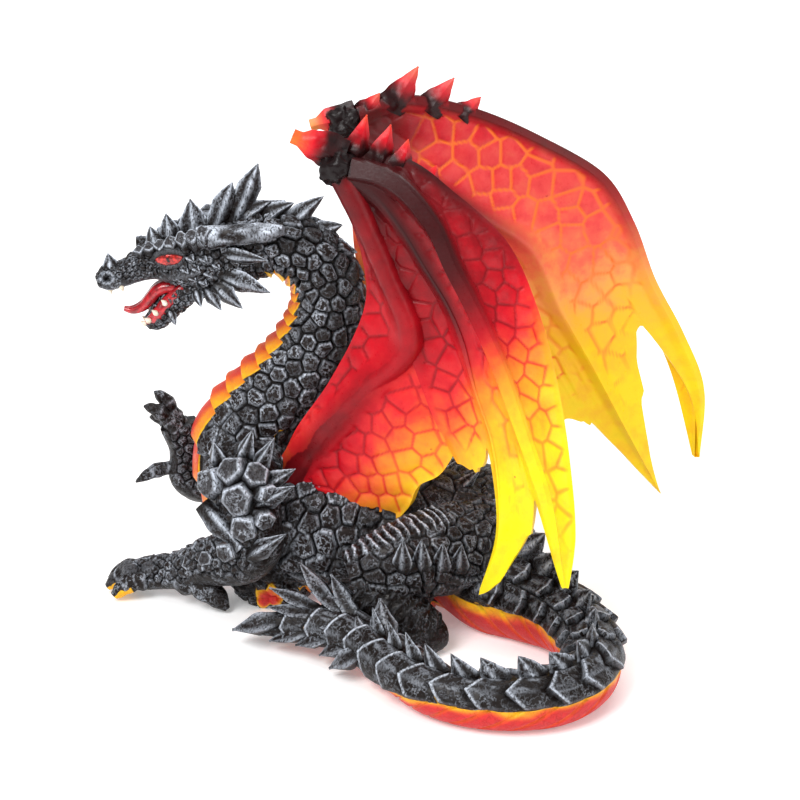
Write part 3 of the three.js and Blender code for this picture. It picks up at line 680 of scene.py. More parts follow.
@dataclass(frozen=True)
class WingLacquer:
    """Cast resin wing sprayed from crimson to yellow and sooted along the bones, under a satin lacquer."""

    name: str = "sprayed_wing_lacquer"
    soot: str = "150b0c"
    stops: Stops = LAVA
    under: tuple[float, float] = (0.28, 0.76)
    fleck: str = "b3201b"
    cloud_mm: float = 6.0
    fleck_mm: float = 7.0
    tooth_mm: float = 0.9

    def material(self) -> bpy.types.Material:
        """Sprayed colour by the glow mark, another in the cell grooves, soot by the rim mark, a few flecks.

        Returns:
            The material.
        """
        material, tree = blank(self.name)
        place = add(tree, "ShaderNodeTexCoord").outputs["Object"]
        rise, rim, glow = (add(tree, "ShaderNodeAttribute", {"attribute_name": mark}).outputs["Fac"]
                           for mark in MARKS)
        cloud = add(tree, "ShaderNodeTexNoise", None,
                    {"Vector": place, "Scale": 1 / (self.cloud_mm * MM), "Detail": 4.0, "Roughness": 0.6})
        tooth = add(tree, "ShaderNodeTexNoise", None,
                    {"Vector": place, "Scale": 1 / (self.tooth_mm * MM), "Detail": 4.0})
        drift = add(tree, "ShaderNodeMapRange", None,
                    {"Value": cloud.outputs["Fac"], "From Min": 0.25, "From Max": 0.75,
                     "To Min": -0.07, "To Max": 0.07})
        warm = add(tree, "ShaderNodeMath", {"operation": "ADD"}, {0: glow, 1: drift.outputs[0]})
        spray = add(tree, "ShaderNodeValToRGB", {"stops": self.stops}, {"Fac": warm.outputs[0]})
        # The grooves between cells keep more of the coat sprayed first
        other = add(tree, "ShaderNodeMapRange", None,
                    {"Value": warm.outputs[0], "From Min": 0.4,
                     "To Min": self.under[0], "To Max": self.under[1]})
        pooled = add(tree, "ShaderNodeValToRGB", {"stops": LAVA}, {"Fac": other.outputs[0]})
        low = add(tree, "ShaderNodeMapRange", None,
                  {"Value": rise, "From Min": 0.9, "From Max": 0.2, "To Max": 0.9})
        veined = add(tree, "ShaderNodeMix", {"data_type": "RGBA"},
                     {"Factor": low.outputs[0], "A": spray.outputs["Color"], "B": pooled.outputs["Color"]})
        spot = add(tree, "ShaderNodeTexVoronoi", None, {"Vector": place, "Scale": 1 / (self.fleck_mm * MM)})
        dot = add(tree, "ShaderNodeMapRange", None,
                  {"Value": spot.outputs["Distance"], "From Min": 0.085, "From Max": 0.06, "To Max": 0.75})
        few = add(tree, "ShaderNodeMapRange", None,
                  {"Value": cloud.outputs["Fac"], "From Min": 0.56, "From Max": 0.6})
        flecks = add(tree, "ShaderNodeMath", {"operation": "MULTIPLY"},
                     {0: dot.outputs[0], 1: few.outputs[0]})
        dotted = add(tree, "ShaderNodeMix", {"data_type": "RGBA"},
                     {"Factor": flecks.outputs[0], "A": veined.outputs["Result"], "B": linear(self.fleck)})
        sooty = add(tree, "ShaderNodeMath", {"operation": "MULTIPLY_ADD", "use_clamp": True},
                    {0: drift.outputs[0], 1: 1.2, 2: rim})
        coated = add(tree, "ShaderNodeMix", {"data_type": "RGBA"},
                     {"Factor": sooty.outputs[0], "A": dotted.outputs["Result"], "B": linear(self.soot)})
        rough = add(tree, "ShaderNodeMapRange", None,
                    {"Value": tooth.outputs["Fac"], "From Min": 0.3, "From Max": 0.7,
                     "To Min": 0.26, "To Max": 0.4})
        bump = add(tree, "ShaderNodeBump", None,
                   {"Height": tooth.outputs["Fac"], "Strength": 0.25, "Distance": 0.2 * MM})
        shader = add(tree, "ShaderNodeBsdfPrincipled", None,
                     {"Base Color": coated.outputs["Result"], "Roughness": rough.outputs[0],
                      "Normal": bump.outputs["Normal"], "IOR": 1.48, "Specular IOR Level": 0.2})
        add(tree, "ShaderNodeOutputMaterial", None, {"Surface": shader.outputs["BSDF"]})
        return material


@dataclass(frozen=True)
class GlossPaint:
    """A glossy touched-in paint: two close shades mottled by the brush."""

    name: str
    light: str
    dark: str
    mottle_mm: float
    roughness: float
    metallic: float = 0.0
    dot: str = "0d0808"

    def material(self) -> bpy.types.Material:
        """Mottled gloss paint.

        Returns:
            The material.
        """
        material, tree = blank(self.name)
        place = add(tree, "ShaderNodeTexCoord").outputs["Object"]
        mottle = add(tree, "ShaderNodeTexNoise", None,
                     {"Vector": place, "Scale": 1 / (self.mottle_mm * MM), "Detail": 3.0})
        share = add(tree, "ShaderNodeMapRange", None,
                    {"Value": mottle.outputs["Fac"], "From Min": 0.35, "From Max": 0.65})
        tint = add(tree, "ShaderNodeMix", {"data_type": "RGBA"},
                   {"Factor": share.outputs[0], "A": linear(self.dark), "B": linear(self.light)})
        # A black dot is touched in where the rise mark falls to nought
        rise = add(tree, "ShaderNodeAttribute", {"attribute_name": "rise"}).outputs["Fac"]
        plain = add(tree, "ShaderNodeMapRange", None, {"Value": rise, "From Min": 0.05, "From Max": 0.19})
        dotted = add(tree, "ShaderNodeMix", {"data_type": "RGBA"},
                     {"Factor": plain.outputs[0], "A": linear(self.dot), "B": tint.outputs["Result"]})
        bump = add(tree, "ShaderNodeBump", None,
                   {"Height": mottle.outputs["Fac"], "Strength": 0.2, "Distance": 0.2 * MM})
        shader = add(tree, "ShaderNodeBsdfPrincipled", None,
                     {"Base Color": dotted.outputs["Result"], "Roughness": self.roughness,
                      "Metallic": self.metallic, "Normal": bump.outputs["Normal"],
                      "Coat Weight": 0.4, "Coat Roughness": 0.1})
        add(tree, "ShaderNodeOutputMaterial", None, {"Surface": shader.outputs["BSDF"]})
        return material


# Casting


@dataclass
class Casting:
    """Shells poured together into one closed piece."""

    name: str
    slot: str
    node: str
    finishes: list[bpy.types.Material]
    brushed: bool = True
    shells: list[Shell] = field(default_factory=list)
    crease: float = CREASE

    def take(self, *shells: Shell) -> None:
        """Adds shells to the casting, cut level with the floor."""
        for shell in shells:
            shell.points[:, 2] = np.maximum(shell.points[:, 2], 0.0)
            self.shells.append(shell)

    def pour(self) -> bpy.types.Object:
        """Joins the shells into one skin, drops what is inside, and hangs the piece on the frame.

        Returns:
            The finished object.
        """
        parts = bpy.data.collections.new(self.name + "_parts")
        made = []
        for k, shell in enumerate(self.shells):
            part = bpy.data.objects.new(f"{self.name}_{k}", shell.mesh(f"{self.name}_{k}"))
            for finish in self.finishes:
                part.data.materials.append(finish)
            made.append(part)
            if k:
                parts.objects.link(part)
        first = made[0]
        bpy.context.scene.collection.objects.link(first)
        if len(made) > 1:
            union = first.modifiers.new("union", "BOOLEAN")
            union.operation = "UNION"
            union.operand_type = "COLLECTION"
            union.collection = parts
            union.solver = "MANIFOLD"
            union.material_mode = "INDEX"
        graph = bpy.context.evaluated_depsgraph_get()
        mesh = bpy.data.meshes.new_from_object(first.evaluated_get(graph), depsgraph=graph)
        mesh.name = self.name
        for part in made:
            spent = part.data
            bpy.data.objects.remove(part)
            bpy.data.meshes.remove(spent)
        bpy.data.collections.remove(parts)
        work = bmesh.new()
        work.from_mesh(mesh)
        bmesh.ops.triangulate(work, faces=work.faces[:])
        work.to_mesh(mesh)
        work.free()
        mesh.polygons.foreach_set("use_smooth", np.ones(len(mesh.polygons), bool))
        mesh.set_sharp_from_angle(angle=self.crease)
        if self.brushed:
            self.brush_down(mesh)
        else:
            self.mend(mesh)
        piece = bpy.data.objects.new(self.name, mesh)
        bpy.context.scene.collection.objects.link(piece)
        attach(piece, "root")
        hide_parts(self.node)
        LOG.info("%s: %d shells, %d triangles", self.name, len(self.shells), len(mesh.polygons))
        return piece

    @staticmethod
    def mend(mesh: bpy.types.Mesh) -> None:
        """Gives points made by the union, which have no marks, the mean marks of their marked neighbours."""
        count = len(mesh.vertices)
        ends = np.empty(2 * len(mesh.edges), np.int32)
        mesh.edges.foreach_get("vertices", ends)
        one, two = ends[::2], ends[1::2]
        values = np.empty((len(MARKS), count), np.float32)
        for mark, value in zip(MARKS, values):
            mesh.attributes[mark].data.foreach_get("value", value)
        known = values.any(axis=0)
        for _ in range(4):
            near = np.bincount(one, known[two], count) + np.bincount(two, known[one], count)
            bare = ~known & (near > 0.0)
            for value in values:
                told = value * known
                total = np.bincount(one, told[two], count) + np.bincount(two, told[one], count)
                value[bare] = total[bare] / near[bare]
            known |= bare
        for mark, value in zip(MARKS, values):
            mesh.attributes[mark].data.foreach_set("value", value)

    @staticmethod
    def brush_down(mesh: bpy.types.Mesh) -> None:
        """Dims the dry brush on faces turned down, so tops stay lighter: rim * (0.4 + 0.6 * step of z)."""
        count = len(mesh.vertices)
        normal = np.empty(3 * count, np.float32)
        mesh.vertices.foreach_get("normal", normal)
        rim = np.empty(count, np.float32)
        layer = mesh.attributes["rim"].data
        layer.foreach_get("value", rim)
        layer.foreach_set("value", (rim * (0.4 + 0.6 * smooth(normal[2::3], -0.5, 0.5))).astype(np.float32))


@dataclass
class Member:
    """Part of the body, poured as one piece that is named for its class."""

    def shells(self) -> list[Shell]:
        """The shells that the part is made of."""
        raise NotImplementedError

    def crease(self) -> float:
        """Angle between faces past which an edge is shaded as sharp."""
        return CREASE

    def cast(self, finishes: list[bpy.types.Material]) -> bpy.types.Object:
        """Builds the part.

        Args:
            finishes: Materials of the body.

        Returns:
            The finished object.
        """
        name = type(self).__name__.lower()
        casting = Casting(name, "body_paint", "body", finishes, crease=self.crease())
        casting.take(*self.shells())
        return casting.pour()


# Trunk and neck


@dataclass
class Trunk(Member):
    """Trunk and S-shaped neck with carved plates, belly scutes, the crest and the breast."""

    spine: Sequence[Row] = (
        (36, -12, 13, 9, 10), (22, -5, 20, 18, 18), (3, 0, 22, 21, 22.5), (-15, 3, 22.5, 20.5, 22.5),
        (-32, 6.5, 27, 20, 20.5), (-44.5, 9.5, 38, 17, 17), (-48, 10, 50, 14, 14), (-40, 9, 62, 12.5, 13),
        (-29, 7, 75, 11.5, 12), (-21.5, 6, 90, 11, 11), (-21.5, 5, 103, 10.5, 9.8), (-27, 4.5, 111, 10, 9.8),
        (-35, 4, 114.5, 9.5, 9), (-44, 3.5, 115, 9, 9),
    )
    crest: Sequence[tuple[Row, Row]] = (
        ((-47, 3.5, 121.5), (-37.5, 4, 127.5)), ((-40.5, 4, 121.5), (-31, 4, 126.8)),
        ((-32.5, 4, 120), (-22.3, 4, 128.8)), ((-26, 4.5, 116.5), (-16.8, 4.5, 119.8)),
        ((-20.5, 4.5, 112), (-12.6, 4.5, 111.2)), ((-16.5, 5, 106), (-10.4, 5, 102.2)),
        ((-14, 5, 100), (-9.8, 5, 95.4)),
    )
    breast: tuple[Row, Row] = ((-39, 1, 12), (15, 13, 15))
    rings: int = 400
    sides: int = 144
    crest_size: tuple[float, float] = (7.0, 7.4)
    back_spikes: int = 7
    back_spike_size: tuple[float, float] = (6.5, 5.5)
    scale: float = 5.6
    breast_scale: float = 5.0
    scute: float = 6.4
    depth: float = 1.05

    def relief(self, tube: Tube) -> Relief:
        """Plates over the back and sides, and shingled scutes over the belly from yellow to red.

        Args:
            tube: The plain trunk.

        Returns:
            The relief over the trunk.
        """
        rng = np.random.default_rng(21)
        skin = tube.skin()
        seeds = tube.seeds(lambda half: min(0.36 * half + 1.5, 7.4), rng)
        scales = plates(skin, seeds, self.scale, self.depth, rng)
        # The dry brush is stronger low on the neck and weaker on the rump
        brushing = 0.6 + 0.9 * smooth(-skin[..., 0], 4.0, 30.0) * (1.0 - 0.3 * smooth(skin[..., 2], 76.0, 96.0))
        scales.rim, scales.rise = scales.rim * brushing, scales.rise * brushing
        belly = -np.cos(tube.angle)[None]
        fold = (tube.arc[:, None] + 0.8 * np.abs(np.sin(tube.angle))[None]) / self.scute
        step = fold - np.floor(fold)
        jump = smooth(step, 0.0, 0.12)
        cloud = grain(skin, 9.0, 4)
        warm = 0.64 - 0.07 * cloud + 0.1 * smooth(-skin[..., 2], -66.0, -44.0) + 0.1 * (step - 0.5)
        warm = warm + 0.16 * (1.0 - jump) + 0.12 * smooth(belly, 0.84, 0.97)
        scutes = Relief(0.1 + 2.0 * (1.0 - step) * jump, 0.2 + 0.8 * jump, 0.0 * step, warm)
        made = scales.mixed(scutes, smooth(belly + 0.04 * cloud, 0.7, 0.75))
        # Lava paint seeps into the grooves beside the left wing's root
        root = np.linalg.norm(skin - np.array([-31.0, -4.0, 52.0]), axis=-1)
        seep = (1.0 - smooth(root, 8.0, 18.0)) * smooth(grain(skin, 6.0, 9), 0.0, 0.3)
        made.glow = np.maximum(made.glow, 0.62 * seep * (1.0 - smooth(made.rise, 0.05, 0.3)))
        return made

    def breast_shell(self) -> Shell:
        """Breast between the forelegs: a scaly ellipsoid with lava paint low on its left."""
        rng = np.random.default_rng(5)
        centre, half = (np.array(part, float) for part in self.breast)
        seeds = centre + unit(rng.normal(size=(110, 3))) * half
        made = ball(centre, half, lambda p: plates(p, seeds, self.breast_scale, 0.9, rng).lift, 50, 76,
                    rise=0.45)
        spot = np.linalg.norm(made.points - np.array([-41.0, -10.0, 5.0]), axis=1)
        made.marks["glow"] = 0.86 * (1.0 - smooth(spot + 3.0 * grain(made.points, 3.0, 3), 1.5, 8.0))
        return made

    def shells(self) -> list[Shell]:
        """Trunk, crest, back spikes and breast."""
        tube = Tube(Path(self.spine), self.rings, self.sides, RIGHT)
        made = [self.relief(tube).over(tube)]
        for foot, tip in self.crest:
            fin = Blade(foot, tip, *self.crest_size, belly=0.6, widest=0.4, sweep=(0.0, 0.0, 0.5))
            made.append(fin.shell())
        for k in range(self.back_spikes):
            place = 0.62 - 0.5 * k / (self.back_spikes - 1)
            i = int(place * (tube.rings - 1))
            tip = tube.top(place, 5.5) - 5.0 * tube.along[i]
            made.append(Blade(tube.top(place, -2.0), tip, *self.back_spike_size, belly=0.2).shell())
        return made + [self.breast_shell()]


# Head


@dataclass
class Head(Member):
    """Head in its own distances: forward, sideways and up from the back of the skull, pitched nose down."""

    origin: Row = (-44.2, 3.5, 114.2)
    pitch: float = math.radians(14)
    skull: Sequence[Row] = (
        (-6, 0, 0, 9, 9.5), (4, 0, -1, 10, 9.5), (13, 0, -0.5, 10, 9), (21, 0, 0.5, 8.5, 7.5),
        (28, 0, 2.2, 6.6, 5.6), (33, 0, 1.7, 5.4, 4.3), (39, 0, 0.4, 4.6, 3.5), (44, 0, 0.2, 4.2, 3.4),
        (46.8, 0, 0, 2.2, 1.8),
    )
    jaw: Sequence[Row] = (
        (14, 0, -7, 7, 4.5), (22, 0, -9.4, 5.6, 4), (28, 0, -12.6, 5.2, 3.8), (32.6, 0, -15.6, 4.8, 3.4),
        (35.8, 0, -17, 3, 2),
    )
    gum: Sequence[Row] = (
        (17, 0, -6, 5, 3.4), (23, 0, -8.2, 5, 3.3), (28.2, 0, -10.9, 5.4, 3.2), (32.2, 0, -13.8, 5.3, 3.1),
        (35.6, 0, -15.9, 3.4, 2.1),
    )
    tongue: Sequence[Row] = (
        (20, 0, -9, 3.6, 2.6), (23.6, 0, -7.8, 3.6, 2.6), (26.8, 0, -6.6, 3.4, 2.4), (30, 0, -6.9, 3.2, 2.2),
        (33, 0, -8.9, 3, 2), (36, 0, -10.9, 2.6, 1.7), (39.2, 0, -11.4, 2, 1.3), (41.6, 0, -10.4, 1, 0.8),
    )
    crest: Sequence[tuple[Row, Row, float, float]] = (
        ((41.8, 0, 1.4), (41.5, 0, 7.4), 5.2, 6.2), ((26.8, 0, 5.5), (27.2, 0, 12.4), 5.4, 6.8),
        ((22.2, 0, 5.5), (21.5, 0, 15.1), 6.2, 8.2), ((14.8, 0, 5.5), (13.4, 0, 17.6), 7.0, 10.4),
    )
    crystals: Sequence[tuple[Row, Row]] = (((10, 0, 5), (0.1, 0, 19.6)), ((3.5, 0, 6), (-8.7, 0, 23.3)))
    sides: Sequence[tuple[Row, Row, float]] = (
        ((8, 8, 1.8), (-5.4, 13, -2), 5.6), ((9.5, 8, -4.4), (-3.6, 13, -11.8), 7.6),
        ((12, 7.5, -7), (5.6, 12.5, -14.8), 6.6), ((15, 6.5, -7.6), (12, 11, -14.4), 5.4),
        ((18.4, 5.5, -8), (17.8, 9, -12.6), 3.8), ((28, 3.5, -12.5), (27, 6.5, -17.2), 3.6),
    )
    knobs: Sequence[Row] = (
        (20.2, 8.2, -0.6), (17.4, 9.2, 2.6), (16.6, 9.6, -0.8), (13.6, 9.9, 1.6), (18.6, 8.6, -3.6),
        (13.6, 9.8, -3), (15.8, 9, -5.4), (10.6, 9.9, -1), (22.8, 7, -3.4),
    )
    log_horn: tuple[Row, Row, float] = ((13, 8, 7.6), (-12, 11.5, 5.4), 6.2)
    brow: tuple[Row, Row] = ((31.3, 4.6, 7.0), (11, 9.8, 8.4))
    brow_scales: int = 7
    crystal_size: tuple[float, float] = (6.0, 7.2)
    knob_size: tuple[float, float] = (3.4, 3.0)
    tooth: float = 1.9
    cheek_scale: float = 3.0
    snout_scale: float = 2.1
    jaw_scale: float = 2.6
    nostril: tuple[float, float] = (43.2, 1.1)
    eye: Row = (23.0, 7.4, 3.7)
    lids: Sequence[Sequence[Row]] = (
        ((5.2, -2.0, 0.2, 0.8), (2.5, 0.3, 2.4, 1.0), (-1.5, 1.0, 2.6, 1.2), (-5.0, 0.9, 0.6, 0.9)),
        ((5.0, -2.0, -0.1, 0.6), (1.8, 0.1, -2.1, 0.8), (-2.2, 0.7, -2.2, 0.8), (-5.0, 0.7, -0.1, 0.6)),
    )
    teeth: Sequence[tuple[Row, Row]] = (
        ((36.0, 2.0, -16.4), (37.6, 2.2, -14.8)), ((34.4, 4.2, -15.0), (35.8, 4.9, -13.2)),
        ((31.6, 5.0, -13.0), (32.8, 5.8, -11.0)), ((28.2, 5.2, -10.6), (29.2, 5.9, -8.6)),
        ((43.4, 2.6, -2.0), (43.6, 2.6, -4.6)), ((39.8, 3.6, -2.0), (39.7, 3.7, -4.2)),
    )

    def place(self, rows: Any) -> Array:
        """Rows of head distances in the sculptor's frame, further columns kept."""
        table = np.atleast_2d(np.array(rows, float)).copy()
        c, d = math.cos(self.pitch), math.sin(self.pitch)
        f, s, u = table[:, 0].copy(), table[:, 1].copy(), table[:, 2].copy()
        table[:, 0] = self.origin[0] - f * c - u * d
        table[:, 1] = self.origin[1] + s
        table[:, 2] = self.origin[2] - f * d + u * c
        return table

    def local(self, points: Array) -> Array:
        """Head distances of points in the sculptor's frame."""
        c, d = math.cos(self.pitch), math.sin(self.pitch)
        x, z = points[..., 0] - self.origin[0], points[..., 2] - self.origin[2]
        return np.stack([-x * c - z * d, points[..., 1] - self.origin[1], -x * d + z * c], axis=-1)

    def skull_shell(self) -> Shell:
        """Skull: pebbled cheeks, a wrinkled snout, hollow eye sockets and nostrils, and a smooth lip."""
        rng = np.random.default_rng(8)
        tube = Tube(Path(self.place(self.skull)), 130, 104, ASIDE, square=2.4)
        skin = tube.skin()
        here = self.local(skin)
        f, s, u = here[..., 0], np.abs(here[..., 1]), here[..., 2]
        seeds = tube.seeds(lambda half: self.cheek_scale, rng)
        made = plates(skin, seeds, self.cheek_scale, 0.7, rng)
        # The snout is creased into small uneven cells instead of scales
        tight = np.array([1.0, 0.8, 0.8])
        seeds = tube.seeds(lambda half: self.snout_scale, rng)
        creases = plates(skin * tight, seeds * tight, 2.0, 0.5, rng)
        made = made.mixed(creases, smooth(f + 2.0 * grain(skin, 4.0, 2), 24.0, 28.0))
        lip = smooth(f, 14.0, 19.0) * np.exp(-((u + 2.6 - 0.5 * smooth(f, 26.0, 34.0)) / 1.1) ** 2)
        band = Relief(0.45 + 0.1 * grain(skin, 1.6, 4), 0.8 + 0.0 * f, 0.2 + 0.0 * f, 0.0 * f)
        made = made.mixed(band, lip)
        socket = np.exp(-((f - self.eye[0]) / 5.2) ** 2 - ((u - self.eye[2]) / 2.5) ** 2) * (s > 3.0)
        hole = np.hypot((f - self.nostril[0]) / 1.3, u - self.nostril[1])
        nostril = np.exp(-hole ** 2) * (s > 1.2)
        ring = np.exp(-((hole - 1.5) / 0.4) ** 2) * (s > 1.2)
        made.lift = made.lift * (1.0 - 0.8 * socket) - 1.4 * socket - 1.8 * nostril + 0.55 * ring
        made.rise = made.rise * (1.0 - 0.9 * socket) * (1.0 - nostril)
        made.rim = np.maximum(made.rim * (1.0 - socket) * (1.0 - nostril), 0.7 * ring)
        return made.over(tube)

    def jaw_shell(self) -> Shell:
        """Lower jaw: small scales all over."""
        rng = np.random.default_rng(9)
        tube = Tube(Path(self.place(self.jaw)), 60, 72, ASIDE, square=2.6)
        seeds = tube.seeds(lambda half: self.jaw_scale, rng)
        return plates(tube.skin(), seeds, self.jaw_scale, 0.55, rng).over(tube)

    def gum_shell(self) -> Shell:
        """Floor of the mouth: a smooth red bed along the top of the jaw, hollow down its middle."""
        tube = Tube(Path(self.place(self.gum)), 44, 40, ASIDE)
        hollow = -1.4 * smooth(np.cos(tube.angle), 0.6, 0.95)[None] + 0.15 * grain(tube.skin(), 1.4, 5)
        return shell_over(tube.skin(hollow), {"rise": 1.0}, paint=Paint.MOUTH)

    def tongue_shell(self) -> Shell:
        """Tongue: a flat curved tube with a groove down its middle."""
        tube = Tube(Path(self.place(self.tongue)), 44, 32, ASIDE)
        groove = -0.5 * np.exp(-(np.sin(tube.angle / 2.0) / 0.22) ** 2)[None]
        return shell_over(tube.skin(groove), {"rise": 1.0}, paint=Paint.MOUTH)

    def eye_shells(self, sign: float) -> list[Shell]:
        """Eye: an almond ball with a pupil, under an upper lid and over a lower one.

        Args:
            sign: 1 for the right eye, -1 for the left.

        Returns:
            The shells of one eye.
        """
        f, s, u = self.eye
        angle = np.linspace(0.0, 2 * math.pi, 40, endpoint=False)
        a = np.linspace(0.04, math.pi - 0.04, 24)
        almond = 4.3 * np.cos(a)[:, None] + 0.0 * angle
        high = 2.5 * np.sin(a)[:, None] ** 1.2 * np.cos(angle)
        deep = 1.9 * np.sin(a)[:, None] * np.sin(angle)
        out = sign * (s - 0.35 + deep - 0.1 * almond)
        grid = np.stack([f + almond, out, u + high + 0.12 * almond], axis=-1)
        pupil = np.exp(-((almond - 0.3) / 0.95) ** 4 - (high / 1.5) ** 4)
        shape = self.place(grid.reshape(-1, 3)).reshape(grid.shape)
        shells = [shell_over(shape, {"rise": 1.0 - pupil}, paint=Paint.EYE)]
        for lid in self.lids:
            rows = [(f + ahead, sign * (s + out), u + above, half) for ahead, out, above, half in lid]
            tube = Tube(Path(self.place(rows)), 26, 16, ASIDE)
            shells.append(shell_over(tube.skin(), {"rise": 0.3, "rim": 0.12}))
        return shells

    def side_shells(self, sign: float) -> list[Shell]:
        """Cheek spikes, brow scales, log horn and teeth of one side.

        Args:
            sign: 1 for the right side, -1 for the left.

        Returns:
            The shells of that side.
        """
        shells = []
        flip = np.array([1.0, sign, 1.0])
        for foot, tip, width in self.sides:
            base, end = self.place([np.array(foot) * flip, np.array(tip) * flip])
            leaf = Blade(base, end, width, 0.7 * width, hint=(0, -sign, 0.25), belly=0.9, widest=0.45,
                         blunt=0.06)
            shells.append(leaf.shell())
        for f, side, u in self.knobs:
            base, end = self.place([(f, sign * (side - 2.4), u), (f - 1.6, sign * (side + 1.9), u - 0.5)])
            knob = Blade(base, end, *self.knob_size, hint=(0.3, 0, 1), belly=1.0, root=0.9, widest=0.5,
                         blunt=0.2, rings=12)
            shells.append(knob.shell())
        foot, tip, width = self.log_horn
        rows = np.linspace(np.array(foot), np.array(tip), 6) * flip
        thick = width / 2 * np.array([1.15, 1.1, 1.02, 0.96, 0.84, 0.46])
        tube = Tube(Path(np.column_stack([self.place(rows), thick])), 64, 56, UP)
        skin = tube.skin()
        knots = 0.4 * grain(skin * [0.4, 1, 1], 1.7, 12) + 0.3 * grain(skin, 3.4, 13)
        brushing = {"rise": 0.7 + 0.3 * knots, "rim": smooth(knots, -0.2, 0.32)}
        shells.append(shell_over(tube.skin(knots), brushing))
        start, stop = np.array(self.brow)
        for k in range(self.brow_scales):
            middle = (start + (stop - start) * (k / (self.brow_scales - 1))) * flip
            size = 3.4 + 0.34 * k
            out = unit(np.array([-0.25, 0.62 * sign, 0.75]))
            shells.append(Rock(self.place(middle)[0] + 0.5 * size * out, out, size, 4, 40 + k).shell())
        for root, point in self.teeth:
            base, end = self.place([np.array(root) * flip, np.array(point) * flip])
            fang = Blade(base, end, self.tooth, self.tooth, sharp=1.9, belly=0.7, blunt=0.1, rings=10,
                         sides=12, paint=Paint.IVORY)
            shells.append(fang.shell())
        return shells

    def shells(self) -> list[Shell]:
        """Skull, jaw, mouth, crest and both sides."""
        made = [self.skull_shell(), self.jaw_shell(), self.gum_shell(), self.tongue_shell()]
        for foot, tip, wide, deep in self.crest:
            base, end = self.place([foot, tip])
            made.append(Blade(base, end, wide, deep, belly=0.8, root=0.9, blunt=0.06, sharp=1.05).shell())
        for foot, tip in self.crystals:
            base, end = self.place([foot, tip])
            crystal = Blade(base, end, *self.crystal_size, belly=1.0, root=0.92, widest=0.68, blunt=0.08,
                            sharp=1.15, rings=26)
            made.append(crystal.shell())
        for sign in (-1.0, 1.0):
            made += self.side_shells(sign) + self.eye_shells(sign)
        return made


# Limbs


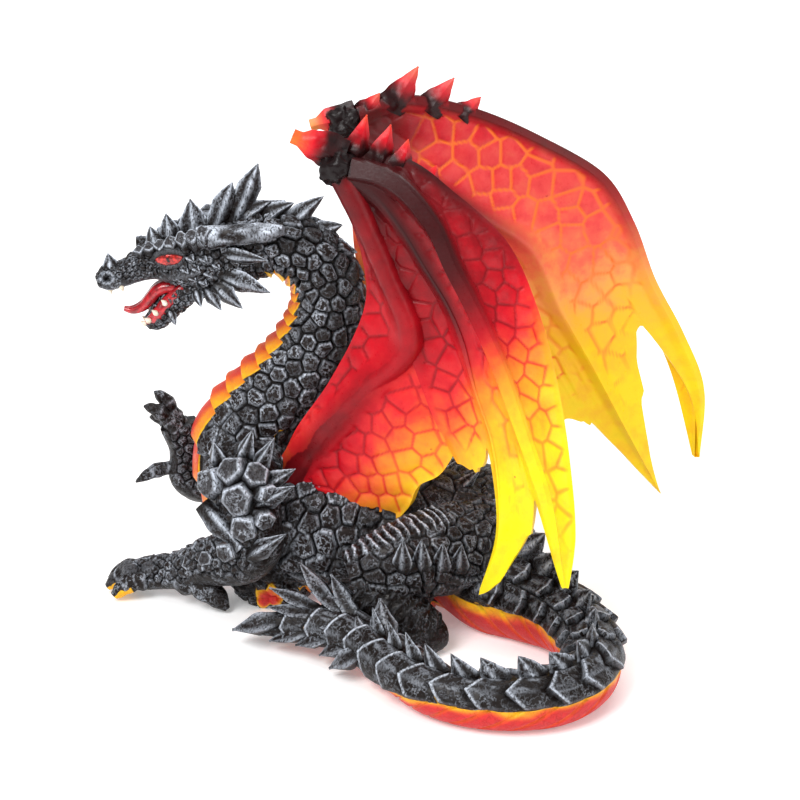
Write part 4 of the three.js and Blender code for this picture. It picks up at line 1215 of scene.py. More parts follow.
@dataclass
class Forelegs(Member):
    """Left foreleg planted in front with its shoulder armour, and the right one raised."""

    left: Sequence[Row] = (
        (-43, 2, 44, 10.5), (-46, -6, 43, 10.5), (-45, -12, 34, 9.4), (-43, -14, 25, 8), (-47, -12, 20, 8.4),
        (-57, -7, 16, 7.6), (-65, -2, 11, 6.2), (-72, 2, 8.2, 5.5), (-81, 5, 5.8, 4.8),
    )
    left_toes: Sequence[tuple[Row, Row]] = (
        ((-78.5, 7.5, 6.4), (-90, 9.5, 2)), ((-79, 4, 6.6), (-90.5, 4, 2)),
        ((-78.5, 0.5, 6.2), (-88, -2, 1.8)),
    )
    dewclaw: tuple[Row, Row] = ((-67, -2.5, 8), (-52.6, -10.5, 1.4))
    right: Sequence[Row] = (
        (-44, 16, 42, 10), (-52, 20, 38, 9), (-61, 23, 29.5, 7), (-66, 24, 31, 6), (-66.5, 25, 39.5, 5.4),
        (-69, 25, 48, 5.6),
    )
    right_fingers: Sequence[tuple[Row, Row]] = (
        ((-68, 25, 47), (-76, 24.5, 59)), ((-69, 22, 47), (-79, 21, 55.5)), ((-69, 27, 45), (-78, 28, 49)),
        ((-67, 24, 33), (-82.5, 23, 29)),
    )
    rocks: Sequence[tuple[Row, Row, float]] = (
        ((-58.5, -13, 44.7), (-0.8, -0.55, 0.25), 10.6), ((-48.6, -22.6, 42.8), (-0.15, -0.95, 0.3), 11.0),
        ((-51, -17.4, 51.4), (-0.35, -0.7, 0.6), 9.4), ((-42.4, -20, 51), (0.1, -0.8, 0.6), 8.8),
        ((-46.7, -24, 33.6), (-0.1, -1, 0), 9.2), ((-38, -22, 44.2), (0.5, -0.85, 0.2), 7.6),
        ((-52.8, -22, 25.4), (-0.5, -0.85, 0.1), 7.4), ((-59, -14.4, 20.4), (-0.4, -0.75, 0.55), 6.2),
        ((-64.4, -9.8, 16.8), (-0.3, -0.75, 0.6), 5.4), ((-39.8, -24, 36.6), (0.35, -0.95, 0), 7.0),
    )
    slab: tuple[Row, Row] = ((-59.2, -14.5, 38.4), (-47.4, -20.6, 26.4))
    spikes: Sequence[tuple[Row, Row]] = (
        ((-54, -7, 48.5), (-55.6, -9, 56)), ((-46.8, -10, 51), (-43.7, -12, 61.4)),
        ((-42.6, -12, 48), (-37.2, -15, 60)), ((-41.6, -18, 40), (-31, -24, 48.4)),
        ((-44.4, -21, 24.6), (-33.6, -27, 34.2)), ((-40, -13, 44), (-31, -15, 50)),
    )
    knuckles: Sequence[Row] = ((-84, 4, 8.2), (-83, 0.6, 8.6), (-76.9, 0.4, 9.6))
    knuckle_half: Row = (2.8, 2.4, 2.6)
    toe: float = 6.4
    finger: float = 4.6
    dewclaw_thick: float = 9.0
    slab_size: tuple[float, float] = (7.6, 6.6)
    spike_size: tuple[float, float] = (7.6, 6.4)
    scale: float = 3.4

    def arm(self, rows: Sequence[Row], rings: int, brush: float) -> Shell:
        """Arm along its rows: small brushed scales on top, smooth dark leather beneath.

        Args:
            rows: Path of the arm.
            rings: Steps along it.
            brush: Strength of the dry brush on the scales.

        Returns:
            The shell of the arm.
        """
        rng = np.random.default_rng(rings)
        tube = Tube(Path(rows), rings, 84, RIGHT)
        skin = tube.skin()
        made = plates(skin, tube.seeds(lambda half: self.scale, rng), self.scale, 0.7, rng)
        made.rim = brush * made.rim
        folds = 0.16 * grain(skin, 2.4, 3) + 0.1 * grain(skin, 1.1, 4)
        leather = Relief(folds, 0.45 + 0.6 * folds, 0.0 * folds, 0.0 * folds)
        under = smooth(-np.cos(tube.angle)[None] + 0.3 * grain(skin, 6.0, 5), 0.1, 0.45)
        return made.mixed(leather, under).over(tube)

    def digit(self, base: Row, tip: Row, thick: float, blunt: float = 0.14, glow: float = 0.0) -> Shell:
        """Finger with two round knuckles that ends in a smooth claw.

        Args:
            base: Root of the finger.
            tip: Point of the claw.
            thick: Thickness at the root in mm.
            blunt: Thickness of the claw's end as a share of the root's.
            glow: Lava paint low on the claw.

        Returns:
            The shell of the finger.
        """
        a, b = np.array(base, float), np.array(tip, float)
        share = np.array([0.0, 0.16, 0.34, 0.52, 0.68, 0.84, 1.0])
        girth = np.array([1.0, 1.1, 0.9, 1.04, 0.84, 0.6 + 0.3 * blunt, blunt]) * thick / 2
        arch = np.sin(share * math.pi) * 0.14 * np.linalg.norm(b - a)
        rows = np.column_stack([a + (b - a) * share[:, None] + UP * arch[:, None], girth])
        tube = Tube(Path(rows), 44, 32, RIGHT)
        skin = tube.skin()
        along = np.linspace(0.0, 1.0, 44)[:, None]
        claw = smooth(along, 0.62, 0.72)
        fold = 0.16 * np.sin(24 * along + 2.0 * grain(skin, 2.5, 2)) * (1 - claw) + 0.14 * grain(skin, 1.3, 3)
        under = smooth(-np.cos(tube.angle)[None] + 0.4 * grain(skin, 2.0, 6), -0.2, 0.2)
        warm = glow * smooth(along, 0.3, 0.5) * under
        rim = 0.55 * smooth(fold, 0.06, 0.24) * (1.0 - 0.6 * claw)
        return shell_over(tube.skin(fold), {"rise": 0.6 + 1.2 * fold, "rim": rim, "glow": warm})

    def shells(self) -> list[Shell]:
        """Both arms with their digits, the shoulder armour, and one rock on the right shoulder."""
        made = [self.arm(self.left, 190, 1.15), self.arm(self.right, 120, 0.4)]
        for k, (base, tip) in enumerate(self.left_toes):
            made.append(self.digit(base, tip, self.toe, 0.4, 0.6 if k else 0.0))
        for middle in self.knuckles:
            made.append(ball(middle, self.knuckle_half, lambda p: 0.35 * grain(p, 1.3, 6), 18, 26,
                             rise=0.6, rim=0.1))
        made.append(self.digit(*self.dewclaw, self.dewclaw_thick, 0.22))
        made += [self.digit(base, tip, self.finger) for base, tip in self.right_fingers]
        made += [Rock(top, out, size, 5 + k % 2, k).shell() for k, (top, out, size) in enumerate(self.rocks)]
        slab = Blade(*self.slab, *self.slab_size, hint=(0.3, -0.9, 0.3), belly=1.0, widest=0.5, blunt=0.5,
                     sharp=1.3, rings=26)
        made.append(slab.shell())
        for foot, tip in self.spikes:
            spike = Blade(foot, tip, *self.spike_size, belly=0.8, root=0.8, widest=0.3, sharp=1.02)
            made.append(spike.shell())
        top, out, size = self.rocks[0]
        return made + [Rock(*across([top, out]), size, 5, 30).shell()]


@dataclass
class Hindlegs(Member):
    """Folded hind legs: ridged thighs, wrinkled shins, feet, and flat spikes behind the left knee."""

    thigh: Sequence[Row] = (
        (26, -12, 25, 14), (14, -20, 26, 13.5), (2, -27, 26, 12), (-8, -31, 24.5, 9.6), (-15, -32, 22.5, 6.6),
    )
    shin: Sequence[Row] = ((-11, -32, 21, 8), (-2, -34, 14, 8), (5.5, -34.5, 8.5, 7), (10, -33.5, 6.5, 5.6))
    foot: Sequence[Row] = ((12, -33, 5, 4.6), (7.5, -36, 5, 6), (0, -38, 4.5, 5.8), (-5, -39, 3.5, 4))
    knee_spikes: Sequence[tuple[Row, Row]] = (
        ((0.6, -39, 27.6), (0.9, -43, 39.6)), ((6.4, -37, 26.6), (6.3, -41, 39)),
        ((12, -34.5, 25), (12.6, -39, 37)), ((17.4, -32, 24), (18, -36.4, 35)),
    )
    knee_spike_size: tuple[float, float] = (6.2, 3.2)
    scale: float = 5.2
    ridge: float = 2.2

    def thigh_shell(self, rows: Sequence[Row]) -> Shell:
        """Thigh along its rows: big round scales on the flank, and sharp ridges over its top to the knee."""
        rng = np.random.default_rng(31)
        tube = Tube(Path(rows), 150, 130, UP)
        skin = tube.skin()
        made = plates(skin, tube.seeds(lambda half: self.scale, rng), self.scale, 0.9, rng)
        # The tube's side turns up, so its top is a quarter turn round
        off = np.angle(np.exp(1j * (tube.angle - math.pi / 2)))[None]
        fold = tube.arc[:, None] / self.ridge + 0.6 * np.abs(off) + 0.3 * grain(skin, 3.0, 5)
        wave = np.abs(fold - np.floor(fold) - 0.5) * 2.0
        crest = Relief(1.1 * (1.0 - wave ** 1.2) - 0.1, 0.1 + 0.9 * (1 - wave), smooth(1 - wave, 0.66, 0.9),
                       0.0 * wave)
        zone = smooth(tube.arc, 15.0, 18.0)[:, None] * (1.0 - smooth(np.abs(off + 0.12), 0.36, 0.46))
        made.rim, made.rise = 0.6 * made.rim, 0.7 * made.rise
        return made.mixed(crest, zone).over(tube)

    def shank(self, rows: Sequence[Row], wrinkle: float) -> Shell:
        """Wrinkled shin or smooth foot: fine leather creases, crossed by a few soft folds."""
        tube = Tube(Path(rows), 80, 72, RIGHT)
        skin = tube.skin()
        wave = np.sin(tube.arc[:, None] * 1.7 + 3.5 * grain(skin, 5.0, 1))
        crease = np.abs(grain(skin, 2.0, 2) + 0.5 * grain(skin, 1.0, 7))
        fold = wrinkle * (0.3 * wave - 0.3 * (1.0 - smooth(crease, 0.0, 0.3)))
        marks = {"rise": 0.3 * smooth(crease, 0.0, 0.4), "rim": 0.08 * smooth(fold, 0.1, 0.3)}
        return shell_over(tube.skin(fold), marks)

    def shells(self) -> list[Shell]:
        """Both thighs, shins and feet, and the left knee's spikes."""
        made = [self.thigh_shell(self.thigh), self.thigh_shell(across(self.thigh))]
        for rows, wrinkle in ((self.shin, 1.0), (self.foot, 0.35)):
            made += [self.shank(rows, wrinkle), self.shank(across(rows), wrinkle)]
        for foot, tip in self.knee_spikes:
            made.append(Blade(foot, tip, *self.knee_spike_size, hint=RIGHT, belly=0.8, widest=0.35).shell())
        return made


# Tail


@dataclass
class Tail(Member):
    """Tail curled to the front: keeled side plates, fins along the top, a lava belly band and end blades."""

    rows: Sequence[Row] = (
        (20, -6, 19, 18), (29, -17, 13, 15.5), (38.5, -25, 11, 12.6), (49, -36.5, 10, 10.2),
        (55.2, -53, 9, 9.2), (53, -70, 8.5, 8.6), (44, -79.8, 8, 8.4), (31.5, -83.5, 8, 8),
        (19.7, -81.3, 7.5, 7.6), (8.5, -74, 7.5, 7.5), (-1.4, -61, 8, 7), (-10.2, -47, 9, 6.5),
        (-20.7, -37.5, 9, 6), (-32.7, -33.5, 8, 4.5), (-44, -33.5, 6, 1),
    )
    blades: Sequence[tuple[Row, Row, float]] = (
        ((-35, -33.5, 9.6), (-49.8, -32.5, 5.4), 8.4), ((-26, -38, 8.4), (-38.7, -37, 4), 7.0),
        ((-20, -42, 8.4), (-30.8, -41, 4.6), 6.8), ((-14.4, -47, 8.6), (-23.7, -45.5, 3.6), 7.0),
        ((-11, -54, 9), (-20.6, -53, 3.2), 7.6), ((-24, -34, 13), (-38.8, -29, 17.6), 5.4),
        ((-24, -36, 12), (-39.2, -32.5, 13), 5.8), ((-12, -43, 12.6), (-29.1, -38, 10.8), 6.8),
        ((-19, -36, 14), (-29.8, -29, 26), 5.8), ((-12, -40, 13.6), (-26.2, -33, 18.2), 6.2),
        ((-12, -42, 13), (-20.4, -31, 23), 5.6), ((-4, -54, 9), (-5.8, -46, 22.4), 6.4),
        ((-8.6, -52, 9), (-12.6, -47, 17), 5.6), ((-8, -53, 9.6), (-16.2, -49, 9.6), 5.6),
    )
    rings: int = 560
    sides: int = 120
    pitch: float = 9.6
    fin_size: tuple[float, float] = (4.4, 10.0)
    fin_rise: float = 8.2
    fin_lean: float = 5.4
    top_row: float = math.radians(6)
    belly_at: Ramp = (
        (0.0, 25.0, 60.0, 85.0, 122.0, 134.0, 147.0, 200.0),
        (92.0, 80.0, 80.0, 78.0, 78.0, 96.0, 125.0, 150.0),
    )

    def crease(self) -> float:
        """The plates' lips are steep, so only the sharpest edges are shaded as sharp."""
        return math.radians(60)

    def row(self, tube: Tube, turn: Array, low: Array, high: Array, stagger: float, bow: float) -> Relief:
        """Row of plates between two angles: each climbs to a pointed free edge and is folded down its middle.

        Args:
            tube: The plain tail.
            turn: Angle of each point from the top.
            low: Upper edge of the row.
            high: Lower edge of the row.
            stagger: Share of a plate by which the row is shifted.
            bow: Share of a plate by which the point of its edge runs ahead.

        Returns:
            The relief of the row.
        """
        size = (tube.half[:, :1] / 8.0) ** 0.8
        over = (turn - (low + high) / 2.0) / ((high - low) / 2.0)
        inside = np.clip(1.0 - np.abs(over), 0.0, 1.0)
        phase = tube.arc[:, None] / self.pitch - bow * inside + stagger
        step = phase - np.floor(phase)
        drop = smooth(step, 0.0, 0.2)
        edge = smooth(inside, 0.0, 0.14)
        lift = size * edge * drop * (0.1 + 1.2 * step ** 1.1 + 1.0 * inside * (0.3 + 0.7 * step))
        fold = np.exp(-(over / 0.1) ** 2) * smooth(step, 0.1, 0.5)
        hem = np.exp(-((inside - 0.12) / 0.05) ** 2) * smooth(step, 0.2, 0.6)
        lip = smooth(step, 0.86, 0.93) * (1.0 - smooth(step, 0.95, 1.0))
        rim = np.maximum(np.maximum(0.85 * lip, 0.3 * hem), 0.2 * fold) * smooth(inside, 0.02, 0.1)
        return Relief(lift, 0.1 + 0.3 * smooth(step, 0.05, 0.25) * edge, rim, 0.0 * lift)

    def relief(self, tube: Tube) -> Relief:
        """Two rows of plates by the rump, one big row at the front, and a lava band in segments beneath.

        Args:
            tube: The plain tail.

        Returns:
            The relief over the tail.
        """
        skin = tube.skin()
        turn = np.abs(np.angle(np.exp(1j * tube.angle)))[None]
        bound = np.radians(np.interp(tube.arc, *self.belly_at))[:, None]
        middle = 0.52 * bound
        rear = self.row(tube, turn, self.top_row, middle, 0.0, 0.25).mixed(
            self.row(tube, turn, middle, bound, 0.5, 0.25), (turn > middle) * 1.0)
        front = self.row(tube, turn, self.top_row, bound, 0.25, 0.45)
        made = rear.mixed(front, smooth(tube.arc, 66.0, 74.0)[:, None])
        # Fine scratches run along the plates
        lines = np.stack(np.broadcast_arrays(tube.arc[:, None] / 5.0, 9.0 * turn, 0.0), axis=-1)
        made.lift = made.lift + 0.08 * grain(skin, 1.4, 8) + 0.1 * grain(lines, 1.0, 9)
        made.rim = np.maximum(made.rim, 0.25 * smooth(grain(lines, 1.0, 9), 0.35, 0.6) * (made.rise > 0.3))
        cloud = grain(skin, 6.0, 4)
        fold = tube.arc[:, None] / (0.8 * self.pitch) - 1.2 * (turn - bound)
        line = np.abs(fold - np.floor(fold) - 0.5) * 2.0
        warm = 0.62 + 0.24 * smooth(turn - bound + 0.2 * cloud, 0.02, 0.4)
        # The lines along the grooves between the belly segments, shifted toward the yellow end of the lava
        # ramp, are painted highlights
        warm = warm - 0.08 * (1.0 - smooth(line, 0.1, 0.4))
        belly = Relief(-0.9 + 0.6 * smooth(line, 0.04, 0.3), smooth(line, 0.02, 0.2), 0.0 * line, warm)
        made = made.mixed(belly, smooth(turn + 0.05 * cloud - bound, -0.02, 0.05))
        gaps = (1.0 - smooth(made.rise, 0.1, 0.25)) * smooth(grain(skin, 8.0, 14), 0.3, 0.5)
        made.glow = np.maximum(made.glow, 0.55 * (gaps * smooth(turn, 0.7, 1.2)))
        return made

    def shells(self) -> list[Shell]:
        """Tail, the fins along its top and the blades at its end."""
        tube = Tube(Path(self.rows), self.rings, self.sides)
        made = [self.relief(tube).over(tube)]
        for place in np.arange(22.0, tube.arc[-1] - 40.0, self.pitch):
            i = int(np.searchsorted(tube.arc, place))
            size = (tube.half[i].mean() / 8.0) ** 0.7
            foot = tube.centre[i] + tube.up[i] * (tube.half[i, 1] - 1.5)
            tip = foot + tube.up[i] * (self.fin_rise * size) + tube.along[i] * (self.fin_lean * size)
            wide, deep = self.fin_size
            made.append(Blade(foot, tip, wide * size, deep * size, belly=0.3, sharp=1.1, brush=0.75).shell())
        for foot, tip, width in self.blades:
            leaf = Blade(foot, tip, 1.35 * width, 0.85 * width, belly=1.0, root=0.7, widest=0.5, blunt=0.14,
                         sharp=1.06, rings=24, sides=28, brush=0.6)
            made.append(leaf.shell())
        return made


# Wings


@dataclass
class Panel:
    """Skin between two neighbouring bones: a value for each row from the wrist and each column across."""

    place: Array
    net: Array
    rib: Array
    gap: Array
    soot: Array


@dataclass
class Wing:
    """Raised wing: finger skin, the arm with the skin before it, inner skin down to the back, and hooks."""

    name: str
    arm: Sequence[Row]
    front: Sequence[Row]
    fingers: Sequence[Sequence[Row]]
    notches: Sequence[tuple[float, float, float]]
    body_edge: Sequence[Row]
    hooks: Sequence[tuple[Row, Row, float]]
    spray: tuple[float, float]
    stops: Ramp
    bones: Sequence[tuple[float, float]]
    arm_soot: Sequence[tuple[float, float]] = ((2.0, 5.0), (0.0, 1.0))
    arm_dark: Ramp = ((0.0, 0.2, 0.42, 0.55, 0.75, 1.0), (1.0, 0.75, 0.35, 0.3, 0.7, 1.0))
    front_warmth: Ramp = ((0.0, 0.3, 0.75, 1.0), (0.04, 0.07, 0.08, 0.27))
    inner_warmth: Ramp = ((0.0, 0.4, 1.0), (0.07, 0.06, -0.07))
    cell: float = 7.0
    web: float = 3.0
    web_edge: float = 1.5
    wrist: float = 5.4
    finger_rows: int = 300
    front_rows: int = 150
    inner_rows: int = 140
    weave: float = 0.85
    steep: float = 130.0
    tear: float = 0.035
    tear_mm: float = 2.4
    sooty: tuple[float, float] = (8.0, 34.0)

    def glow(self, points: Array) -> Array:
        """Sprayed colour: a ramp along one slanting way, from crimson by the wrist to yellow at the claws."""
        tall = (points[..., 2] - VIEW_HEIGHT) * math.cos(VIEW_TILT) + points[..., 1] * math.sin(VIEW_TILT)
        along = self.spray[0] * points[..., 0] - self.spray[1] * tall + 4.0 * grain(points, 14.0, 6)
        return np.interp(along, *self.stops)

    def panel(self, one: Path, two: Path, reach: Array, notch: Row, bones: Sequence[tuple[float, float]],
              billow: float, rng: np.random.Generator, last: bool) -> Panel:
        """Skin between two bones: one at t + s * (two at t - one at t), where t falls short in the notch.

        Args:
            one: Path of the first bone.
            two: Path of the second bone.
            reach: Share of the bones' length at each row.
            notch: Depth of the cut, where it is deepest and the power of its far side.
            bones: How far along each bone the soot reaches, and how wide it is in mm.
            billow: How far the skin swells between the bones, as a share of the gap.
            rng: Source of the torn edge.
            last: Whether the second bone's column is kept, which a next panel would repeat.

        Returns:
            The panel.
        """
        span = np.linalg.norm((one.at(reach) - two.at(reach))[..., :3], axis=-1).max()
        depth, deepest, power = notch
        # The columns crowd where the notch makes the rows steep
        fine = np.linspace(0.0, 1.0, 400)
        cut = depth * np.minimum(fine / deepest, ((1.0 - fine) / (1.0 - deepest)) ** power)
        length = np.cumsum(np.hypot(span, self.steep * np.gradient(cut, fine)))
        place = np.interp(np.linspace(length[0], length[-1], int(span / self.weave) + 8), length, fine)
        place = place if last else place[:-1]
        torn = np.interp(place * span / self.tear_mm, np.arange(64), rng.uniform(0.0, self.tear, 64))
        torn = torn * np.minimum(1.0, depth * 8.0) * smooth(place * (1.0 - place), 0.08, 0.2)
        t = reach * (1.0 - (np.interp(place, fine, cut) + torn) * reach ** 2)
        start, stop = one.at(t), two.at(t)
        s = np.broadcast_to(place, t.shape)
        net = start[..., :3] + (stop - start)[..., :3] * s[..., None]
        width = np.linalg.norm((stop - start)[..., :3], axis=-1)
        rib, soot = 0.0, 0.0
        halves, offs = (start[..., 3], stop[..., 3]), (s * width, (1.0 - s) * width)
        for half, off, (far, wide) in zip(halves, offs, bones):
            rib = np.maximum(rib, half * np.exp(-(off / (1.5 * half)) ** 2))
            soot = np.maximum(soot, (1 - smooth(t, far - 0.25, far + 0.1)) * np.exp(-(off / wide) ** 2))
        gap = billow * width * 4.0 * s * (1.0 - s) * smooth(reach, 0.0, 0.3)
        return Panel(place, net, rib, gap, soot)

    def sheet(self, lines: Sequence[Sequence[Row]], notches: Sequence[Row], rows: int,
              bones: Sequence[tuple[float, float]], billow: float, warmth: Ramp, dark: Any = 1.0) -> Shell:
        """Skin stretched over lines: panels between neighbours, thick along each line, notched at the edge.

        Half thickness = root of the squares of the plain skin and of a round rib over each line.

        Args:
            lines: Paths of the bones, from the wrist outwards.
            notches: Notch of each panel; none for a sheet with a whole edge.
            rows: Steps from the wrist to the edge.
            bones: How far along each bone the soot reaches, and how wide it is in mm.
            billow: How far the skin swells between the bones, as a share of the gap.
            warmth: Shift of the sprayed colour, as places from the first row to the last and values.
            dark: Strength of the soot on the bones, for each row.

        Returns:
            The closed shell of the skin.
        """
        paths = [Path(line) for line in lines]
        first = 0.03 if notches else 0.0
        reach = (first + (1.0 - first) * np.linspace(0.0, 1.0, rows) ** 0.85)[:, None]
        rng = np.random.default_rng(rows)
        panels = [self.panel(paths[k], paths[k + 1], reach, notch, bones[k:k + 2], billow, rng,
                             last=k + 2 == len(paths))
                  for k, notch in enumerate(notches or [(0.0, 0.5, 1.0)])]
        parts = zip(*((p.net, p.rib, p.gap, p.soot) for p in panels))
        middle, bump, gap, soot = (np.concatenate(part, axis=1) for part in parts)
        soot = soot * dark
        across_net = np.gradient(middle, axis=1)
        normal = unit(np.cross(np.gradient(middle, axis=0), across_net))
        middle = middle + normal * gap[..., None]
        start, stop = (self.web, self.web_edge) if notches else (self.web_edge, self.web)
        thin = (start + (stop - start) * reach) / 2
        half = np.hypot(thin + 0.0 * bump, bump)
        free = (1.0 - smooth(bump, 0.4, 1.2)) * (1.0 - smooth(reach, 0.84, 0.96) * (len(notches) > 0))
        # Cells grow softer beside a notch, where the rows of the net run almost along its columns
        lean = np.abs((unit(np.gradient(middle, axis=0)) * unit(across_net)).sum(axis=-1))
        soft = smooth(lean, 0.45, 0.85)
        free = free * (1.0 - 0.4 * soft) * (1.0 - smooth(lean, 0.88, 0.97))
        rise, cut = self.mosaic(panels, middle, free, soft)
        half = half - thin * cut
        wrist = np.linalg.norm(middle - np.array(self.arm[0][:3]), axis=-1)
        soot = np.maximum(soot, 1.0 - smooth(wrist + 6.0 * grain(middle, 9.0, 8), *self.sooty))
        # The side turned to the left is the one on show, so the other side has every second column only
        swell = normal * (half * -np.sign(normal[..., 1].mean()))[..., None]
        back = np.unique(np.append(np.arange(0, middle.shape[1], 2), middle.shape[1] - 1))
        rise = 1.0 - (1.0 - rise) * (1.0 - soot)
        grid = np.concatenate([middle + swell, (middle - swell)[:, back[::-1]]], axis=1)
        both = {"rise": rise, "rim": 0.86 * soot, "glow": self.glow(middle) + np.interp(reach, *warmth)}
        marks = {m: np.concatenate([v, v[:, back[::-1]]], axis=1) for m, v in both.items()}
        return shell_over(grid, marks, back)

    def mosaic(self, panels: Sequence[Panel], middle: Array, free: Array, soft: Array) -> tuple[Array, Array]:
        """Cells pressed into the skin, about seeds in staggered rows down each panel, scattered a little.

        Args:
            panels: The skin between each two bones.
            middle: Middle points of the whole skin.
            free: One on open skin and nought on a bone.
            soft: One where the grooves are widest.

        Returns:
            The rise mark, and the share to take off the half thickness.
        """
        rng = np.random.default_rng(len(self.name))
        seeds: list[Array] = []
        for panel in panels:
            legs = np.linalg.norm(np.diff(panel.net, axis=0), axis=2).max(axis=1)
            arc = np.concatenate([[0.0], np.cumsum(legs)])
            for k, at in enumerate(np.arange(0.0, arc[-1], STAGGER * self.cell)):
                line = panel.net[int(np.interp(at, arc, np.arange(len(arc))))]
                count = max(1, int(round(np.linalg.norm(line[-1] - line[0]) / self.cell)))
                share = (np.arange(count + k % 2) + 0.5 - 0.5 * (k % 2)) / count
                share = np.clip(share + rng.uniform(-0.2, 0.2, len(share)) / count, 0.02, 0.98)
                slip = np.clip(at + rng.uniform(-0.18, 0.18, len(share)) * self.cell, 0.0, arc[-1])
                rows = np.interp(slip, arc, np.arange(len(arc))).astype(int)
                columns = np.interp(share, panel.place, np.arange(len(panel.place))).astype(int)
                # A seed too close to an earlier one is left out
                for seed in panel.net[rows, columns]:
                    if all(np.linalg.norm(seed - other) > 0.7 * self.cell for other in seeds):
                        seeds.append(seed)
        _, near, border = cells(middle, np.vstack(seeds))
        groove = 0.88 * (1.0 - smooth(border, 0.0, 0.84 + 0.55 * soft)) * free
        pillow = smooth(near, 0.0, 0.62 * self.cell) * free
        return 1.0 - groove, 0.28 * groove + 0.42 * pillow + 0.04 * grain(middle, 1.5, 4) * free

    def bone(self) -> Shell:
        """Upper and lower arm: a knotted tube from the wrist to the shoulder, black over crimson."""
        tube = Tube(Path(self.arm), 200, 44, np.array([1.0, 0.0, 0.0]))
        skin = tube.skin()
        knots = 0.6 * grain(skin, 4.5, 3) + 0.3 * np.abs(grain(skin, 1.8, 4))
        dark = np.interp(np.linspace(0.0, 1.0, tube.rings), *self.arm_dark)[:, None]
        marks = {"rise": 1.0, "rim": dark * (0.72 - 0.2 * knots), "glow": 0.44 - 0.08 * dark}
        return shell_over(tube.skin(0.45 + 0.2 * knots), marks)

    def cast(self, finish: bpy.types.Material) -> bpy.types.Object:
        """Builds the wing.

        Args:
            finish: Material of the wing.

        Returns:
            The finished object.
        """
        casting = Casting(self.name + "_skin", self.name + "_paint", self.name, [finish], brushed=False)
        casting.take(self.sheet(self.fingers, self.notches, self.finger_rows, self.bones, 0.06,
                                ((0.0,), (0.0,))))
        for lines, rows, start, billow, warmth in (
            ([self.arm, self.front], self.front_rows, 0.0, -0.04, self.front_warmth),
            ([self.arm[3:], self.body_edge], self.inner_rows, 0.5, 0.05, self.inner_warmth),
        ):
            dark = np.interp(np.linspace(start, 1.0, rows), *self.arm_dark)[:, None]
            casting.take(self.sheet(lines, [], rows, self.arm_soot, billow, warmth, dark))
        casting.take(self.bone())
        casting.take(ball(self.arm[0][:3], (self.wrist,) * 3,
                          lambda p: 0.9 * grain(p, 2.2, 2) + 0.5 * grain(p, 1.1, 3), rise=1.0, rim=0.97))
        for k, (foot, tip, width) in enumerate(self.hooks):
            widest, blunt = (0.25, 0.06) if k else (0.6, 0.4)
            made = Blade(foot, tip, 0.95 * width, 1.5 * width, belly=0.8, root=0.9, widest=widest,
                         blunt=blunt, rings=22).shell()
            way = np.array(tip, float) - np.array(foot, float)
            up = ((made.points - np.array(foot)) @ way) / (way @ way)
            made.marks["rim"] = 0.95 * (1.0 - smooth(up + 0.12 * grain(made.points, 2.0, 5), 0.3, 0.62))
            made.marks["rise"] = np.ones(len(up))
            made.marks["glow"] = 0.34 + (0.24 if k else 0.32) * smooth(up, 0.3, 1.0)
            casting.take(made)
        return casting.pour()


LEFT_WING = Wing(
    name="left_wing",
    arm=((-17.5, -14, 143, 3.6), (-11, -16, 129.5, 3.2), (-4, -18, 113.5, 3), (3, -20, 92, 3.6),
         (-9, -16, 77, 3.2), (-21.5, -10, 61, 3.6), (-33, -1, 42, 5)),
    front=((-18.5, -12, 143.5, 1.2), (-13.8, -11, 128.5, 1), (-9.8, -11, 115, 1), (-9, -11.5, 103.5, 1),
           (-12.5, -11.5, 92, 1), (-21, -10, 75, 1), (-31, -6, 59, 1.2), (-35, 1, 46, 1.4)),
    fingers=(
        ((-14.5, -10, 144, 2.2), (1.5, -12, 143.5, 1.8), (14.5, -16, 135.5, 1.5), (30, -20, 122, 1.4),
         (38.5, -26, 104.5, 1.3), (44.5, -33, 82.5, 1.3), (48, -42, 61.5, 1.2), (49.5, -50, 43, 0.9),
         (47.8, -56, 30.5, 0.6)),
        ((-17.5, -15, 144, 3.2), (-2.5, -20, 141, 2.6), (9, -27, 130.5, 2.4), (14.5, -31, 119.5, 2.3),
         (21, -36, 108, 2.4), (28.5, -42, 92, 2.4), (35, -47, 74.5, 2.4), (41.5, -52, 55, 2.4),
         (46.5, -56.5, 31, 0.8)),
        ((-17, -14, 142.5, 3), (-7, -17, 137.5, 2.4), (1.5, -20, 127.5, 2.2), (8.5, -23, 116.5, 2.2),
         (15, -26, 106.5, 2.4), (19.5, -28, 97, 3), (23, -32, 83.5, 2.4), (28, -37, 68.5, 2.2),
         (30, -43, 52.5, 2.2), (29, -48, 40.5, 2), (23, -52, 26.5, 0.7)),
        ((-17.5, -14, 143, 2), (-4, -18, 113.5, 2), (3, -20, 92, 2), (8.5, -22, 76.5, 1.4),
         (15, -24, 61, 0.9)),
    ),
    notches=((0.0, 0.5, 1.0), (0.14, 0.16, 1.5), (0.25, 0.2, 1.5)),
    body_edge=((17.5, -24.6, 62, 0.9), (12, -23.5, 52.2, 0.9), (6.2, -20.8, 47.6, 0.9), (3, -17.5, 39, 1),
               (-2, -14, 33.4, 1.2), (-15, -9, 33, 1.2), (-27, -4, 36, 1.2), (-33, 0, 38, 1.2)),
    hooks=(((-16, -13, 146), (-30.6, -13, 152.2), 7.5), ((-13.5, -11, 144), (-9.4, -10, 157.6), 6.0),
           ((-6.5, -12, 143), (-2.6, -11, 155), 6.0), ((-0.5, -13, 141.5), (2.4, -12, 151), 5.5),
           ((8, -14, 138), (10.5, -13, 143.5), 4.5)),
    spray=(0.66, 0.75),
    # The lowest stops give the darkest crimson, which is partly the sprayed colour and partly painted shade
    # in the hollow between the arm and the first finger
    stops=((-64.0, -30.0, -8.0, 5.0, 16.0, 24.0, 42.0), (0.27, 0.31, 0.38, 0.52, 0.72, 0.85, 0.97)),
    bones=((0.4, 3.0), (0.6, 4.0), (0.6, 4.0), (0.6, 5.0)),
    sooty=(8.0, 38.0),
)
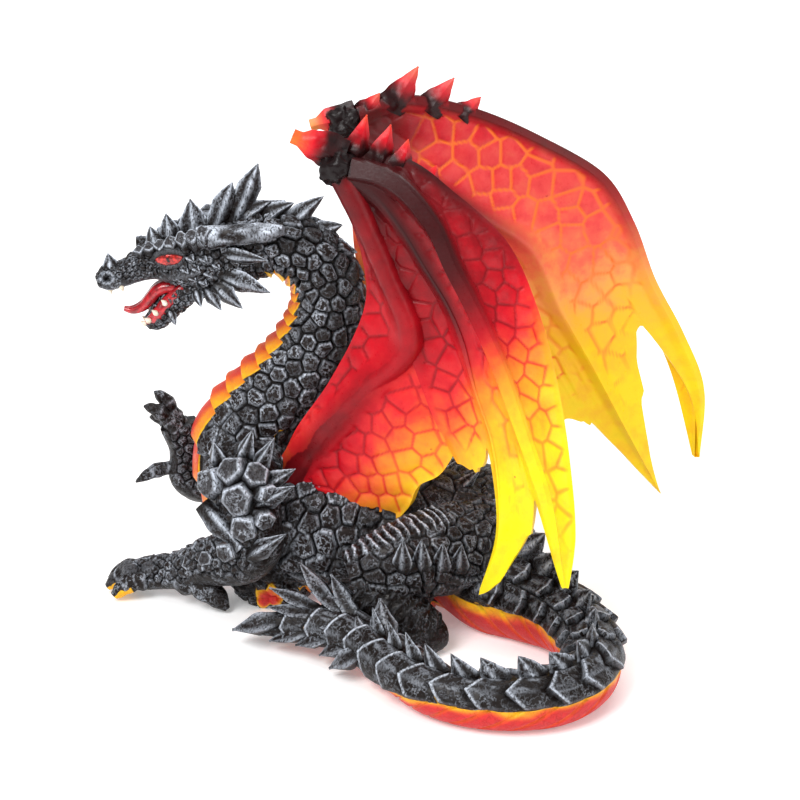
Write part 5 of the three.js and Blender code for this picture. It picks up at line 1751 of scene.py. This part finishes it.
RIGHT_WING = Wing(
    name="right_wing",
    arm=((-16.5, 20, 146.5, 3.6), (-11, 20, 130, 3.2), (-3, 18, 115, 3), (9, 18, 97, 3.4), (-4, 19, 79, 3.2),
         (-16, 19, 62, 3.6), (-27, 13, 42, 5)),
    front=((-17.5, 20, 146, 1.2), (-15, 19, 129, 1), (-14, 17, 111, 1), (-12.5, 16, 95.5, 1),
           (-15, 15, 79.5, 1), (-21, 14.5, 66, 1), (-27, 14, 54, 1.2), (-31, 10, 42, 1.4)),
    fingers=(
        ((-17, 21, 146.5, 3), (0, 28, 149, 2.4), (20, 34, 143.5, 2.2), (40.5, 37, 134, 2), (56, 39, 120.5, 2),
         (66, 41, 105, 2), (74.5, 42, 86, 1.8), (85, 42.5, 62, 1.4), (93.3, 39.8, 31.5, 0.6)),
        ((-16.5, 20, 147, 2.8), (0, 22.5, 152, 2), (21, 26, 147.5, 1.8), (42, 28, 138, 1.7),
         (60.5, 30, 126, 1.7), (69.5, 32, 111, 1.7), (76.5, 34, 92.5, 1.9), (86, 36, 74, 1.9),
         (93.5, 38, 55, 1.8), (94.3, 39, 31, 0.8)),
        ((-15, 20, 145.5, 3), (0, 19, 133.5, 2.3), (12, 20, 125.5, 2.2), (25.5, 22, 116, 2.3),
         (39.5, 24, 105.5, 3), (49, 26, 85, 2.4), (59, 29, 66, 2.2), (70.5, 32, 43, 2), (82.5, 35, 20, 0.7)),
        ((-16.5, 20, 146, 2), (-3, 18, 115, 2), (9, 18, 97, 2), (22, 18, 80, 1.4), (38, 19, 60, 0.9)),
    ),
    notches=((0.0, 0.5, 1.0), (0.26, 0.3, 0.9), (0.08, 0.3, 1.5)),
    body_edge=((41, 19.3, 60.5, 0.9), (28, 21, 52, 0.9), (17, 19, 42, 1), (8, 13, 33, 1.2), (-8, 12, 32, 1.2),
               (-20, 12, 35, 1.2), (-28, 12, 38, 1.2)),
    hooks=(((-13, 20, 149.5), (-26.5, 20, 145.5), 6.0), ((-3, 22, 150), (5.4, 22, 163), 7.0),
           ((8, 24, 149), (16, 24, 159), 6.5), ((18, 25.5, 146.5), (24, 26, 152.6), 5.5),
           ((-11, 21, 148), (-6, 20, 155.5), 5.5)),
    spray=(0.15, 0.99),
    stops=((-75.0, -49.0, -30.0, -22.0, -10.0, 10.0), (0.48, 0.55, 0.67, 0.76, 0.92, 0.98)),
    bones=((0.45, 1.2), (0.62, 1.9), (0.5, 3.2), (0.4, 4.0)),
)


# Stage


@dataclass
class Studio:
    """Pale floor, soft white light all round and the camera of the photograph."""

    target: Row = (0.0, 0.0, VIEW_HEIGHT)
    distance: float = 850.0
    lens: float = 127.5
    lamps: Sequence[tuple[str, Row, float, float]] = (
        ("key", (-0.6, -0.8, 1.1), 0.7, 17.0), ("top", (0.1, 0.1, 1.5), 1.2, 8.0),
        ("fill", (0.9, -0.9, 0.6), 0.9, 5.5), ("back", (0.2, 0.9, 0.9), 0.9, 5.0),
    )

    def camera(self) -> None:
        """Sets the camera at the photograph's angle and distance."""
        data = bpy.data.cameras.new("camera")
        data.sensor_width = 36.0
        data.lens = self.lens
        data.clip_start = 0.01
        camera = bpy.data.objects.new("camera", data)
        target = (np.array(self.target) - SHIFT) * MM
        way = np.array([0.0, -math.cos(VIEW_TILT), math.sin(VIEW_TILT)])
        camera.location = Vector(target + way * self.distance * MM)
        camera.rotation_euler = (math.pi / 2 - VIEW_TILT, 0.0, 0.0)
        bpy.context.scene.collection.objects.link(camera)
        bpy.context.scene.camera = camera

    def lamp(self, name: str, place: Row, size: float, watts: float) -> None:
        """Soft square lamp aimed at the middle of the figurine."""
        data = bpy.data.lights.new(name, "AREA")
        data.size = size
        data.energy = watts
        lamp = bpy.data.objects.new(name, data)
        lamp.location = Vector(place)
        lamp.rotation_euler = (Vector((0.0, 0.0, 0.07)) - lamp.location).to_track_quat("-Z", "Y").to_euler()
        bpy.context.scene.collection.objects.link(lamp)

    def build(self) -> None:
        """Builds floor, world, lamps and camera."""
        scene = bpy.context.scene
        mesh = bpy.data.meshes.new("floor")
        mesh.from_pydata([(-6, -6, 0), (6, -6, 0), (6, 6, 0), (-6, 6, 0)], [], [(0, 1, 2, 3)])
        floor = bpy.data.objects.new("floor", mesh)
        scene.collection.objects.link(floor)
        material, tree = blank("white_paper")
        shader = add(tree, "ShaderNodeBsdfPrincipled", None,
                     {"Base Color": linear("fbfbfb"), "Roughness": 0.9, "Specular IOR Level": 0.1,
                      "Emission Color": linear("ffffff"), "Emission Strength": 0.2})
        add(tree, "ShaderNodeOutputMaterial", None, {"Surface": shader.outputs["BSDF"]})
        mesh.materials.append(material)
        world = bpy.data.worlds.new("studio")
        world.use_nodes = True
        sky = world.node_tree.nodes["Background"].inputs
        sky["Color"].default_value = (1.0, 1.0, 1.0, 1.0)
        sky["Strength"].default_value = 0.42
        scene.world = world
        scene.view_settings.view_transform = "Standard"
        for name, place, size, watts in self.lamps:
            self.lamp(name, place, size, watts)
        self.camera()
        LOG.info("studio set")


def main() -> None:
    logging.basicConfig(level=logging.INFO, format="%(message)s")
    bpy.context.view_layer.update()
    body = [
        CharcoalResin().material(),
        GlossPaint("red_gloss_mouth_paint", "c4222b", "7d1018", 1.5, 0.25).material(),
        GlossPaint("ivory_tooth_paint", "efe6d6", "cdbfa6", 1.0, 0.35).material(),
        GlossPaint("red_pearl_eye_paint", "d8342c", "5e0d0f", 0.9, 0.2, 0.35).material(),
    ]
    for part in (Trunk(), Head(), Forelegs(), Hindlegs(), Tail()):
        part.cast(body)
    LEFT_WING.cast(WingLacquer().material())
    # The right wing takes the paler ramp, whose lighter shades are partly painted sheen and light
    light = WingLacquer("sprayed_wing_lacquer_light_veins_painted_sheen", stops=PALE_LAVA_PAINTED_SHEEN, under=(0.69, 0.66))
    RIGHT_WING.cast(light.material())
    Studio().build()


if __name__ == "__main__":
    main()
